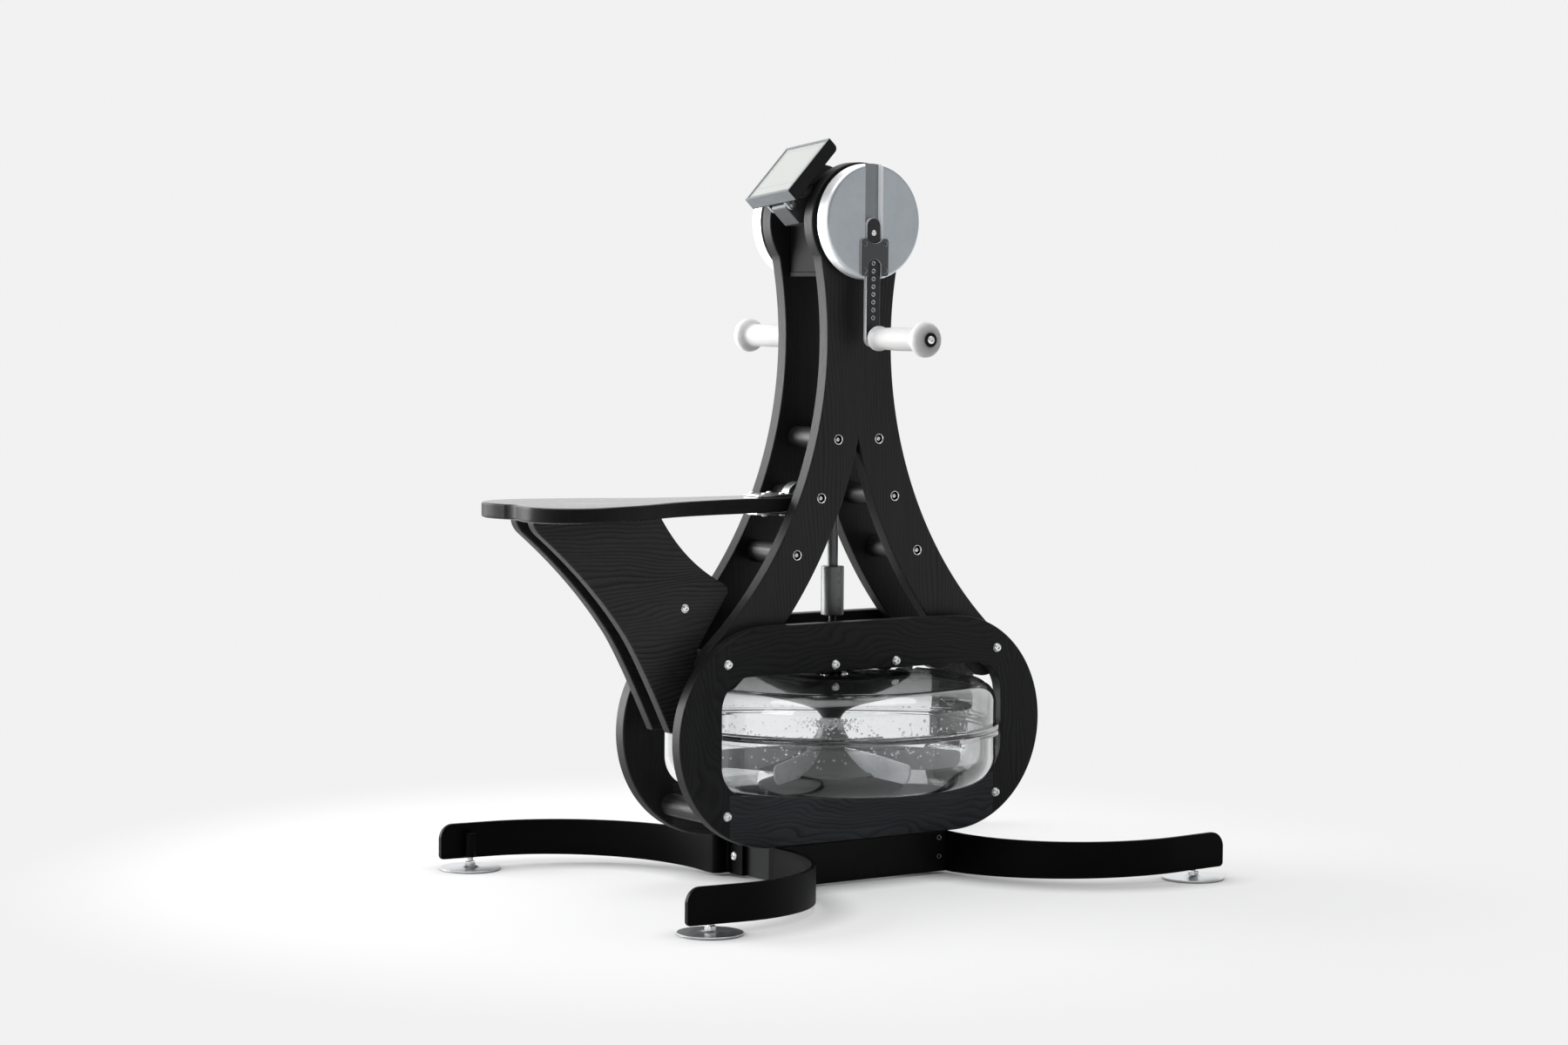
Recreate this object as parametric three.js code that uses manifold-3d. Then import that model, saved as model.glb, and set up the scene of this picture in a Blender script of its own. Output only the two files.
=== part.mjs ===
// Hand-crank water-resistance trainer: two wooden tower panels carry a crank with sliding arms, a bevel
// gear turns a vertical shaft, and the shaft spins a paddle in a round water tank held between two
// wooden plates on a four-legged steel base.  Units are millimetres, +Z is up, the crank axle lies
// along Y, and the seat points to -X.
import * as THREE from 'three';
import { mergeVertices } from 'three/addons/utils/BufferGeometryUtils.js';
import Module from 'manifold-3d';

// ---- driving dimensions -------------------------------------------------------------------------
const GAP = 0.3;                 // between pieces that rest on each other
const TURN = Math.PI * 2;
const degrees = (angle) => angle * Math.PI / 180;

const SEAT_REAR = -613;          // far end of the seat board, from the shaft axis
const LEG_END = 523;             // outer end of each leg, from the shaft axis
const MACHINE_X = -(SEAT_REAR + LEG_END) / 2;   // brings the middle of the length to the origin

const BOARD = 24;                // thickness of the tower panels and the tank plates
const PLATE_OUT = 94.5;          // outer face of a tank plate, from the middle plane
const PLATE_IN = PLATE_OUT - BOARD;
const TOWER_OUT = PLATE_IN - GAP;
const TOWER_IN = TOWER_OUT - BOARD;

const PLATE_Z = 246.8;           // middle height of the tank plates
const PLATE_HALF = 356.8;        // half their length
const PLATE_RISE = 176.8;        // half their height
const WINDOW_HALF = 277;         // half length of the tank window
const WINDOW_LOW = 155;
const WINDOW_HIGH = 345;
const WINDOW_ROUND = 52;

const CRANK_Z = 1063.5;          // height of the crank axle
const HEAD_R = 95.4;             // round top of a tower panel
const SWEEP_X = 702;             // centre of the arcs that sweep each tower leg outwards
const SWEEP_Z = 874.5;
const SWEEP_OUTER = 639;         // radius of a leg's outer edge
const SWEEP_INNER = 719.5;       // radius of a leg's inner edge
const LEG_FOOT = degrees(229.4); // where a tower leg ends, along its sweep

const BOLTS_TOWER = [[40.3, 715.2], [72.8, 621.8], [119.4, 532.0]];
const BOLT_CORNER = [267.1, 120.1];   // from the middle of a tank plate
const BOLT_MIDDLE = [60.3, 109.4];
const BAR_R = 18;                // round crossbars and spacers
const BOLT_R = 4;
const HEAD_BOLT_R = 7;
const HEAD_BOLT = 5;
const SINK_R = 9.5;              // counterbore round each tower bolt
const SINK = 6;

const AXLE_R = 12.5;
const BEARING_R = 23.5;
const DISC_R = 92.5;
const DISC_IN = 79;              // back of a crank disc, from the middle plane
const DISC_OUT = 106.3;          // its face
const CRANK_R = 186;             // from the axle to a handle
const ARM_W = 27;
const ARM_T = 8;
const SLOT_W = 28.7;             // groove in the disc that the arm slides in
const GRIP_IN = 112.3;
const GRIP_OUT = 257.7;
const SPINDLE_R = 6;

const GEAR_TEETH = 24;
const PINION_TEETH = 12;
const GEAR_R = 40;               // pitch radius of the crank gear
const PINION_R = GEAR_R * PINION_TEETH / GEAR_TEETH;
const TOOTH_MODULE = 2 * GEAR_R / GEAR_TEETH;

const HOUSING_HALF = 60;
const HOUSING_LOW = 975;
const HOUSING_HIGH = 1125;
const HOUSING_WALL = 6;

const SHAFT_R = 8.7;
const SPLINE_R = 6;
const COUPLING_R = 18.7;
const COUPLING_LOW = 426;
const COUPLING_HIGH = 506;

const TANK_R = 268;
const FLANGE_R = 275.6;
const FLANGE_Z = 246.7;
const FLANGE_T = 8.2;            // each of the two flanges
const TANK_WALL = 4;
const TANK_LOW = WINDOW_LOW + GAP;
const TANK_TOP = 334;

const BASE_LOW = 4;
const BASE_HIGH = PLATE_Z - PLATE_RISE - GAP;
const BAR_OUT = 94.5;            // outer face of a side bar, from the middle plane
const BAR_T = 6.2;
const BAR_HALF = 165;
const CROSS_OUT = 140;           // outer face of a cross plate, from the shaft axis
const CROSS_T = 6;
const STRIP = 8;                 // thickness of the leg strip
const LEG_Y = 368;               // middle of the strip at the foot
const LEG_FOOT_LOW = 18.5;       // underside of a leg at its outer end
const LEG_LIFT = 6.5;            // how far its upper edge rises on the way there
const FOOT_X = 472.5;
const FOOT_Y = 356;
const FOOT_R = 50;
const STUD_R = 5;

const SEAT_TOP = 623;
const SEAT_T = 24;
const SUPPORT_IN = 16;
const SUPPORT_OUT = 35;
const SEAT_BOLT = [-309.5, 452.6];

const MONITOR_W = 122;
const MONITOR_H = 122;
const MONITOR_T = 22.5;

// ---- solids: joining, cutting and the basic forms -----------------------------------------------
const wasm = await Module();
wasm.setup();

// A closed mesh with merged corners and its faces pointing out.
function closed(geometry) {
  const bare = geometry.clone();
  bare.deleteAttribute('normal');
  bare.deleteAttribute('uv');
  const merged = mergeVertices(bare, 1e-4);
  const place = merged.attributes.position;
  const index = merged.index.array;
  const a = new THREE.Vector3();
  const b = new THREE.Vector3();
  const c = new THREE.Vector3();
  let volume = 0;
  for (let i = 0; i < index.length; i += 3) {
    a.fromBufferAttribute(place, index[i]);
    b.fromBufferAttribute(place, index[i + 1]);
    c.fromBufferAttribute(place, index[i + 2]);
    volume += a.dot(b.cross(c));
  }
  if (volume < 0) {
    for (let i = 0; i < index.length; i += 3) {
      const first = index[i];
      index[i] = index[i + 1];
      index[i + 1] = first;
    }
  }
  return merged;
}

function toSolid(geometry) {
  const shape = closed(geometry);
  const vertProperties = new Float32Array(shape.attributes.position.array);
  const triVerts = new Uint32Array(shape.index.array);
  return new wasm.Manifold(new wasm.Mesh({ numProp: 3, vertProperties, triVerts }));
}

function toGeometry(solid) {
  const mesh = solid.getMesh();
  const geometry = new THREE.BufferGeometry();
  geometry.setAttribute('position', new THREE.BufferAttribute(mesh.vertProperties, 3));
  geometry.setIndex(new THREE.BufferAttribute(mesh.triVerts, 1));
  return geometry;
}

function joined(first, ...others) {
  return toGeometry(others.reduce((solid, other) => solid.add(toSolid(other)), toSolid(first)));
}

function cutBy(first, ...others) {
  return toGeometry(others.reduce((solid, other) => solid.subtract(toSolid(other)), toSolid(first)));
}

function box(xLow, xHigh, yLow, yHigh, zLow, zHigh) {
  const block = new THREE.BoxGeometry(xHigh - xLow, yHigh - yLow, zHigh - zLow);
  return block.translate((xLow + xHigh) / 2, (yLow + yHigh) / 2, (zLow + zHigh) / 2);
}

// A round rod along Y through the point (x, z).
function rodY(radius, yLow, yHigh, x, z, sides = 16) {
  const rod = new THREE.CylinderGeometry(radius, radius, yHigh - yLow, sides);
  return rod.translate(x, (yLow + yHigh) / 2, z);
}

// A round rod along Z through the point (x, y).
function rodZ(radius, zLow, zHigh, x = 0, y = 0, sides = 16) {
  const rod = new THREE.CylinderGeometry(radius, radius, zHigh - zLow, sides).rotateX(Math.PI / 2);
  return rod.translate(x, y, (zLow + zHigh) / 2);
}

// An outline drawn in X and Y, given height from zLow to zHigh.
function slab(outline, zLow, zHigh, curveSegments = 12) {
  const options = { depth: zHigh - zLow, bevelEnabled: false, curveSegments };
  return new THREE.ExtrudeGeometry(outline, options).translate(0, 0, zLow);
}

// An outline drawn in X and Z, given thickness from yLow to yHigh.
function board(outline, yLow, yHigh, curveSegments = 12) {
  return slab(outline, -yHigh, -yLow, curveSegments).rotateX(Math.PI / 2);
}

// A profile of [radius, height] points turned about Z.
function turnedZ(points, sides = 40) {
  const profile = points.map(([radius, height]) => new THREE.Vector2(radius, height));
  return new THREE.LatheGeometry(profile, sides).rotateX(Math.PI / 2);
}

// A profile of [radius, distance] points turned about the Y axis through (x, z); side is +1 or -1.
function turnedY(points, side, x, z, sides = 24) {
  const profile = points.map(([radius, along]) => new THREE.Vector2(radius, along * side));
  return new THREE.LatheGeometry(profile, sides).translate(x, 0, z);
}

function roundedRectangle(xLow, xHigh, yLow, yHigh, radius) {
  const outline = new THREE.Shape();
  outline.moveTo(xLow + radius, yLow);
  outline.lineTo(xHigh - radius, yLow);
  outline.absarc(xHigh - radius, yLow + radius, radius, -Math.PI / 2, 0, false);
  outline.lineTo(xHigh, yHigh - radius);
  outline.absarc(xHigh - radius, yHigh - radius, radius, 0, Math.PI / 2, false);
  outline.lineTo(xLow + radius, yHigh);
  outline.absarc(xLow + radius, yHigh - radius, radius, Math.PI / 2, Math.PI, false);
  outline.lineTo(xLow, yLow + radius);
  outline.absarc(xLow + radius, yLow + radius, radius, Math.PI, Math.PI * 1.5, false);
  return outline;
}

// Points of an arc, ends included.
function arcPoints(x, y, radius, from, to, steps) {
  return Array.from({ length: steps + 1 }, (_, i) => {
    const angle = from + (to - from) * i / steps;
    return [x + radius * Math.cos(angle), y + radius * Math.sin(angle)];
  });
}

// ---- finishes -----------------------------------------------------------------------------------
const finish = (color, roughness, metalness) => (
  new THREE.MeshStandardMaterial({ color, roughness, metalness }));
const FINISH = {
  wood: () => finish(0x1c1c1e, 0.45, 0),
  blackSteel: () => finish(0x141517, 0.42, 0.5),
  satinSteel: () => finish(0xb9c2c7, 0.32, 0.9),
  darkSteel: () => finish(0x33353a, 0.4, 0.8),
  brightSteel: () => finish(0xd2d4d6, 0.22, 0.95),
  clear: () => Object.assign(finish(0xdde2e4, 0.05, 0), { transparent: true, opacity: 0.35 }),
  rubber: () => finish(0x101010, 0.8, 0),
  grip: () => finish(0xf1f1ef, 0.5, 0),
  darkPlastic: () => finish(0x3c3e42, 0.45, 0),
  screen: () => finish(0xd5d9d8, 0.25, 0),
};

const machine = new THREE.Group();
machine.position.x = MACHINE_X;

function addPart(name, geometry, look, parent = machine) {
  const mesh = new THREE.Mesh(closed(geometry), FINISH[look]());
  mesh.name = name;
  parent.add(mesh);
  return mesh;
}

const SIDES = [['near', -1], ['far', 1]];
const ENDS = [['seat', -1], ['front', 1]];

// Puts a span measured outwards from the middle plane on one side of it.
const span = (side, inner, outer) => (side > 0 ? [inner, outer] : [-outer, -inner]);

// ---- tower --------------------------------------------------------------------------------------
// Where the head circle meets the outer edge of the right-hand leg.
function headMeeting() {
  const dx = SWEEP_X;
  const dz = SWEEP_Z - CRANK_Z;
  const apart = Math.hypot(dx, dz);
  const along = (apart ** 2 + HEAD_R ** 2 - SWEEP_OUTER ** 2) / (2 * apart);
  const off = Math.sqrt(HEAD_R ** 2 - along ** 2);
  return [(along * dx + off * dz) / apart, CRANK_Z + (along * dz - off * dx) / apart];
}

// The right half of the outline, from the crotch round the leg and up to the top of the head.
function towerHalf() {
  const [meetX, meetZ] = headMeeting();
  const headAngle = Math.atan2(meetZ - CRANK_Z, meetX);
  const outerTop = Math.PI + Math.atan2(SWEEP_Z - meetZ, SWEEP_X - meetX);
  const crotch = Math.PI + Math.acos(SWEEP_X / SWEEP_INNER);
  const middle = (SWEEP_OUTER + SWEEP_INNER) / 2;
  const capR = (SWEEP_INNER - SWEEP_OUTER) / 2;
  const capX = SWEEP_X + middle * Math.cos(LEG_FOOT);
  const capZ = SWEEP_Z + middle * Math.sin(LEG_FOOT);
  return [
    ...arcPoints(SWEEP_X, SWEEP_Z, SWEEP_INNER, crotch, LEG_FOOT, 8),
    ...arcPoints(capX, capZ, capR, LEG_FOOT, LEG_FOOT + Math.PI, 8).slice(1, -1),
    ...arcPoints(SWEEP_X, SWEEP_Z, SWEEP_OUTER, LEG_FOOT, outerTop, 12),
    ...arcPoints(0, CRANK_Z, HEAD_R, headAngle, Math.PI / 2, 10).slice(1),
  ];
}

function towerOutline() {
  const right = towerHalf();
  const left = right.slice(1, -1).reverse().map(([x, z]) => [-x, z]);
  return new THREE.Shape([...right, ...left].map(([x, z]) => new THREE.Vector2(x, z)));
}

function towerPanel(side) {
  const [yLow, yHigh] = span(side, TOWER_IN, TOWER_OUT);
  const holes = [];
  for (const [, end] of ENDS) {
    for (const [x, z] of BOLTS_TOWER) {
      const [sinkLow, sinkHigh] = span(side, TOWER_OUT - SINK, TOWER_OUT + 1);
      holes.push(rodY(BOLT_R + GAP, yLow - 1, yHigh + 1, end * x, z, 6));
      holes.push(rodY(SINK_R, sinkLow, sinkHigh, end * x, z, 10));
    }
    holes.push(rodY(BOLT_R + GAP, yLow - 1, yHigh + 1, end * BOLT_CORNER[0], PLATE_Z + BOLT_CORNER[1], 8));
  }
  holes.push(rodY(BEARING_R + GAP, yLow - 1, yHigh + 1, 0, CRANK_Z, 24));
  return cutBy(board(towerOutline(), yLow, yHigh), ...holes);
}

for (const [word, side] of SIDES) {
  addPart(`tower_panel_${word}`, towerPanel(side), 'wood');
}

// A round bar with its through-bolt: half is half the bar's length, reach the face under each head.
function boltedBar(x, z, half, reach) {
  return joined(
    rodY(BAR_R, -half, half, x, z, 14),
    rodY(BOLT_R, -reach - 1, reach + 1, x, z, 6),
    rodY(HEAD_BOLT_R, reach + GAP, reach + HEAD_BOLT, x, z, 8),
    rodY(HEAD_BOLT_R, -reach - HEAD_BOLT, -reach - GAP, x, z, 8),
  );
}

for (const [word, end] of ENDS) {
  BOLTS_TOWER.forEach(([x, z], i) => {
    const name = `tower_crossbar_${word}_${['upper', 'middle', 'lower'][i]}`;
    addPart(name, boltedBar(end * x, z, TOWER_IN - GAP, TOWER_OUT - SINK), 'wood');
  });
  const cornerX = end * BOLT_CORNER[0];
  addPart(`plate_spacer_${word}_upper`,
    boltedBar(cornerX, PLATE_Z + BOLT_CORNER[1], TOWER_IN - GAP, PLATE_OUT), 'wood');
  addPart(`plate_spacer_${word}_lower`,
    boltedBar(cornerX, PLATE_Z - BOLT_CORNER[1], PLATE_IN - GAP, PLATE_OUT), 'wood');
  addPart(`plate_spacer_${word}_middle`,
    boltedBar(end * BOLT_MIDDLE[0], PLATE_Z + BOLT_MIDDLE[1], PLATE_IN - GAP, PLATE_OUT), 'wood');
}

// ---- tank plates --------------------------------------------------------------------------------
function tankPlate(side) {
  const outline = roundedRectangle(-PLATE_HALF, PLATE_HALF, PLATE_Z - PLATE_RISE, PLATE_Z + PLATE_RISE,
    PLATE_RISE - 0.5);
  const window = roundedRectangle(-WINDOW_HALF, WINDOW_HALF, WINDOW_LOW, WINDOW_HIGH, WINDOW_ROUND);
  const [yLow, yHigh] = span(side, PLATE_IN, PLATE_OUT);
  const holes = [board(window, yLow - 1, yHigh + 1, 6)];
  for (const [, end] of ENDS) {
    const spots = [
      [BOLT_CORNER[0], BOLT_CORNER[1]],
      [BOLT_CORNER[0], -BOLT_CORNER[1]],
      [BOLT_MIDDLE[0], BOLT_MIDDLE[1]],
    ];
    for (const [x, rise] of spots) {
      holes.push(rodY(BOLT_R + GAP, yLow - 1, yHigh + 1, end * x, PLATE_Z + rise, 8));
    }
  }
  return cutBy(board(outline, yLow, yHigh, 10), ...holes);
}

for (const [word, side] of SIDES) {
  addPart(`tank_plate_${word}`, tankPlate(side), 'wood');
}

// ---- water tank ---------------------------------------------------------------------------------
const SEAL_R = 262;
const SHOULDER_Z = 288;
const NECK_R = 26;
const NECK_TOP = 341;
const PLUG_X = 150;
const PLUG_R = 12;

// Outer profile of the upper shell's wall, from its flange to the neck, and the same wall inside.
function upperShell() {
  const low = FLANGE_Z + GAP / 2;
  const shoulder = 34;
  const outer = [
    [FLANGE_R, low], [FLANGE_R, low + FLANGE_T], [TANK_R, low + FLANGE_T],
    ...arcPoints(TANK_R - shoulder, SHOULDER_Z, shoulder, 0, Math.PI / 2, 4),
    [NECK_R + 30, TANK_TOP], [NECK_R, TANK_TOP + 1], [NECK_R, NECK_TOP], [SPLINE_R + 6, NECK_TOP],
  ];
  const inner = [
    [SPLINE_R + 6, TANK_TOP - TANK_WALL], [NECK_R + 30, TANK_TOP - TANK_WALL],
    ...arcPoints(TANK_R - shoulder, SHOULDER_Z, shoulder - TANK_WALL, Math.PI / 2, 0, 3),
    [TANK_R - TANK_WALL, low + 4], [SEAL_R - 4, low + 4], [SEAL_R - 4, low],
  ];
  const first = outer[0];
  const shell = turnedZ([...outer, ...inner, first], 32);
  return cutBy(shell, rodZ(PLUG_R + GAP, TANK_TOP - 20, TANK_TOP + 20, PLUG_X, 0, 12));
}

function lowerShell() {
  const high = FLANGE_Z - GAP / 2;
  const round = 46;
  const outer = [
    [0, TANK_LOW], [205, TANK_LOW],
    ...arcPoints(TANK_R - round, TANK_LOW + round, round, -Math.PI * 0.4, 0, 4),
    [TANK_R, high - FLANGE_T], [FLANGE_R, high - FLANGE_T], [FLANGE_R, high],
  ];
  const inner = [
    [SEAL_R + 2, high], [SEAL_R + 2, high - 3], [SEAL_R - 2, high - 3], [SEAL_R - 2, high],
    [SEAL_R - 5, high], [SEAL_R - 5, TANK_LOW + round],
    ...arcPoints(SEAL_R - 5 - round + TANK_WALL, TANK_LOW + round, round - TANK_WALL, 0, -Math.PI * 0.4, 3),
    [205, TANK_LOW + TANK_WALL], [0, TANK_LOW + TANK_WALL],
  ];
  return turnedZ([...outer, ...inner], 32);
}

addPart('tank_upper_shell', upperShell(), 'clear');
addPart('tank_lower_shell', lowerShell(), 'clear');
addPart('tank_seal', turnedZ([
  [SEAL_R - 1.7, FLANGE_Z - 2.8], [SEAL_R + 1.7, FLANGE_Z - 2.8],
  [SEAL_R + 1.7, FLANGE_Z - 0.2], [SEAL_R - 1.7, FLANGE_Z - 0.2], [SEAL_R - 1.7, FLANGE_Z - 2.8],
], 32), 'rubber');
addPart('tank_fill_plug', joined(
  rodZ(PLUG_R, TANK_TOP - 6, TANK_TOP + 2, PLUG_X, 0, 12),
  rodZ(PLUG_R + 4, TANK_TOP + 1, TANK_TOP + 7, PLUG_X, 0, 12),
), 'rubber');

// Dark funnel under the tank's lid that guides the paddle shaft.
addPart('tank_bearing_cone', turnedZ([
  [SPLINE_R + 0.5, 284], [15, 284], [17, 296], [30, 310], [84, TANK_TOP - TANK_WALL - 4],
  [NECK_R + 28, TANK_TOP - TANK_WALL - GAP],
  [SPLINE_R + 0.5, TANK_TOP - TANK_WALL - GAP], [SPLINE_R + 0.5, 284],
], 20), 'darkPlastic');

// ---- base ---------------------------------------------------------------------------------------
for (const [word, side] of SIDES) {
  const [yLow, yHigh] = span(side, BAR_OUT - BAR_T, BAR_OUT);
  addPart(`base_side_bar_${word}`,
    box(-BAR_HALF, BAR_HALF, yLow, yHigh, BASE_LOW, BASE_HIGH), 'blackSteel');
}

// A cross plate with two ears that reach up inside the tank plates.
function crossPlate(end) {
  const across = BAR_OUT - BAR_T - GAP;
  const web = box(...span(end, CROSS_OUT - CROSS_T, CROSS_OUT), -across, across, BASE_LOW, BASE_HIGH - 4);
  const ears = SIDES.map(([, side]) => (
    box(...span(end, CROSS_OUT - 46, CROSS_OUT), ...span(side, PLATE_IN - 6.3, PLATE_IN - GAP), 48, 116)));
  return joined(web, ...ears);
}

for (const [word, end] of ENDS) {
  addPart(`base_cross_plate_${word}`, crossPlate(end), 'blackSteel');
}

// Thickens a plan path into the outline of a bent strip with mitred corners.
function stripOutline(path, thickness) {
  const left = [];
  const right = [];
  path.forEach(([x, y], i) => {
    const before = path[Math.max(i - 1, 0)];
    const after = path[Math.min(i + 1, path.length - 1)];
    const inward = new THREE.Vector2(x - before[0], y - before[1]).normalize();
    const outward = new THREE.Vector2(after[0] - x, after[1] - y).normalize();
    if (i === 0) inward.copy(outward);
    if (i === path.length - 1) outward.copy(inward);
    const normal = new THREE.Vector2(-inward.y - outward.y, inward.x + outward.x).normalize();
    const reach = thickness / 2 / normal.dot(new THREE.Vector2(-inward.y, inward.x));
    left.push(new THREE.Vector2(x + normal.x * reach, y + normal.y * reach));
    right.unshift(new THREE.Vector2(x - normal.x * reach, y - normal.y * reach));
  });
  return new THREE.Shape([...left, ...right]);
}

// The leg towards +X and +Y: tabs inside the base, a bend round the side bar, and a quarter sweep.
function legStrip() {
  const tabX = CROSS_OUT + GAP + STRIP / 2;
  const tabY = BAR_OUT - BAR_T - GAP - STRIP / 2;
  const outX = BAR_HALF + GAP + STRIP / 2;
  const sweepY = 110;
  const radius = LEG_Y - sweepY;
  const path = [
    [tabX, 38], [tabX, tabY], [outX, tabY],
    ...arcPoints(outX + radius, sweepY, radius, Math.PI, Math.PI / 2, 14),
    [LEG_END, LEG_Y],
  ];
  const strip = slab(stripOutline(path, STRIP), BASE_LOW, BASE_HIGH);
  const place = strip.attributes.position;
  for (let i = 0; i < place.count; i += 1) {
    const along = Math.max((place.getX(i) - outX) / (LEG_END - outX), 0);
    const high = place.getZ(i) > BASE_HIGH - 1;
    const lift = high ? along * LEG_LIFT : along ** 0.45 * (LEG_FOOT_LOW - BASE_LOW);
    place.setZ(i, place.getZ(i) + lift);
  }
  return strip;
}

function legPart() {
  const round = 24;
  const top = BASE_HIGH + LEG_LIFT;
  const corner = new THREE.Shape();
  corner.moveTo(LEG_END - round, top - 0.4);
  corner.absarc(LEG_END - round, top - round - 0.4, round, Math.PI / 2, 0, true);
  corner.lineTo(LEG_END + 5, top - round);
  corner.lineTo(LEG_END + 5, top + 5);
  corner.lineTo(LEG_END - round, top + 5);
  const trimmed = cutBy(legStrip(), board(corner, LEG_Y - 20, LEG_Y + 20, 5));
  const boss = rodZ(9, LEG_FOOT_LOW + 2, 60, FOOT_X, FOOT_Y, 12);
  const bore = rodZ(STUD_R + GAP, 10, 57, FOOT_X, FOOT_Y, 10);
  return cutBy(joined(trimmed, boss), bore);
}

function footPart() {
  const nut = new THREE.CylinderGeometry(9.8, 9.8, 8, 6).rotateX(Math.PI / 2).translate(0, 0, 10);
  const pad = turnedZ([[0, 0], [FOOT_R - 1, 0], [FOOT_R, 1], [FOOT_R, 3], [FOOT_R - 1, 4],
    [14, 5], [11, 7], [0, 7]], 20);
  return joined(pad, nut, rodZ(STUD_R, 12, 42, 0, 0, 10)).translate(FOOT_X, FOOT_Y, 0);
}

for (const [endWord, end] of ENDS) {
  for (const [sideWord, side] of SIDES) {
    addPart(`leg_${endWord}_${sideWord}`, legPart().scale(end, side, 1), 'blackSteel');
    addPart(`foot_${endWord}_${sideWord}`, footPart().scale(end, side, 1), 'brightSteel');
  }
}

// ---- crank --------------------------------------------------------------------------------------
addPart('crank_axle', rodY(AXLE_R, -92, 92, 0, CRANK_Z, 20), 'brightSteel');

for (const [word, side] of SIDES) {
  addPart(`crank_bearing_${word}`, turnedY([
    [AXLE_R + GAP, TOWER_IN + 1], [BEARING_R, TOWER_IN + 1], [BEARING_R, TOWER_OUT - 2],
    [AXLE_R + GAP, TOWER_OUT - 2], [AXLE_R + GAP, TOWER_IN + 1],
  ], side, 0, CRANK_Z, 20), 'brightSteel');
}

function crankDisc(side) {
  const body = turnedY([
    [0, TOWER_OUT + GAP], [28, TOWER_OUT + GAP], [28, DISC_IN], [DISC_R - 2, DISC_IN],
    [DISC_R, DISC_IN + 2], [DISC_R, DISC_OUT - 6], [DISC_R - 1.8, DISC_OUT - 1.8],
    [DISC_R - 6, DISC_OUT], [0, DISC_OUT],
  ], side, 0, CRANK_Z, 36);
  const groove = box(-SLOT_W / 2, SLOT_W / 2, ...span(side, DISC_OUT - 9, DISC_OUT + 5),
    CRANK_Z - DISC_R - 5, CRANK_Z + DISC_R + 5);
  const bore = rodY(AXLE_R + GAP, ...span(side, TOWER_OUT - 5, 92.4), 0, CRANK_Z, 20);
  return cutBy(body, groove, bore);
}

const CLAMP_HALF = 27;
const CLAMP_HIGH = CRANK_Z - 26.7;
const CLAMP_LOW = CRANK_Z - 87;

function armClamp(side) {
  const outline = new THREE.Shape();
  const notch = 12.5;
  outline.moveTo(-CLAMP_HALF, CLAMP_LOW);
  outline.lineTo(-notch, CLAMP_LOW);
  outline.lineTo(-notch, CLAMP_LOW + 15);
  outline.absarc(0, CLAMP_LOW + 15, notch, Math.PI, 0, true);
  outline.lineTo(notch, CLAMP_LOW);
  outline.lineTo(CLAMP_HALF, CLAMP_LOW);
  outline.lineTo(CLAMP_HALF, CLAMP_HIGH);
  outline.lineTo(15, CLAMP_HIGH);
  outline.quadraticCurveTo(8, CLAMP_HIGH - 8, 0, CLAMP_HIGH - 8);
  outline.quadraticCurveTo(-8, CLAMP_HIGH - 8, -15, CLAMP_HIGH);
  outline.lineTo(-CLAMP_HALF, CLAMP_HIGH);
  return board(outline, ...span(side, DISC_OUT + GAP, DISC_OUT + 3.3), 5);
}

const ARM_HOLES = 8;
const ARM_HOLE_PITCH = 12.4;
const HANDLE_Z = CRANK_Z - CRANK_R;

function crankArm(side) {
  const round = ARM_W / 2;
  const top = CRANK_Z + 6 - round;
  const outline = new THREE.Shape();
  outline.absarc(0, HANDLE_Z, round, Math.PI, TURN, false);
  outline.absarc(0, top, round, 0, Math.PI, false);
  for (let i = 0; i < ARM_HOLES; i += 1) {
    const hole = new THREE.Path();
    hole.absarc(0, HANDLE_Z + 33 + i * ARM_HOLE_PITCH, 3, 0, TURN, true);
    outline.holes.push(hole);
  }
  const bar = board(outline, ...span(side, DISC_OUT - GAP - ARM_T, DISC_OUT - GAP), 8);
  const spindle = rodY(SPINDLE_R, ...span(side, DISC_OUT - 4, GRIP_OUT + 2), 0, HANDLE_Z, 12);
  const cap = turnedY([
    [0, GRIP_OUT + GAP], [11.5, GRIP_OUT + GAP], [11.5, GRIP_OUT + 3], [9, GRIP_OUT + 4.3],
    [0, GRIP_OUT + 4.3],
  ], side, 0, HANDLE_Z, 16);
  return joined(bar, spindle, cap);
}

function handGrip(side) {
  const bore = SPINDLE_R + GAP;
  return turnedY([
    [bore, GRIP_IN], [14, GRIP_IN], [20, GRIP_IN + 9], [20, GRIP_IN + 14], [17.5, GRIP_IN + 21],
    [18.6, GRIP_IN + 60], [18.2, GRIP_IN + 112], [26, GRIP_IN + 124], [28, GRIP_IN + 131],
    [25.5, GRIP_IN + 140], [15, GRIP_OUT], [bore, GRIP_OUT], [bore, GRIP_IN],
  ], side, 0, HANDLE_Z, 18);
}

for (const [word, side] of SIDES) {
  addPart(`crank_disc_${word}`, crankDisc(side), 'satinSteel');
  addPart(`arm_clamp_${word}`, armClamp(side), 'darkSteel');
  addPart(`crank_arm_${word}`, crankArm(side), 'darkSteel');
  addPart(`hand_grip_${word}`, handGrip(side), 'grip');
}

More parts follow.
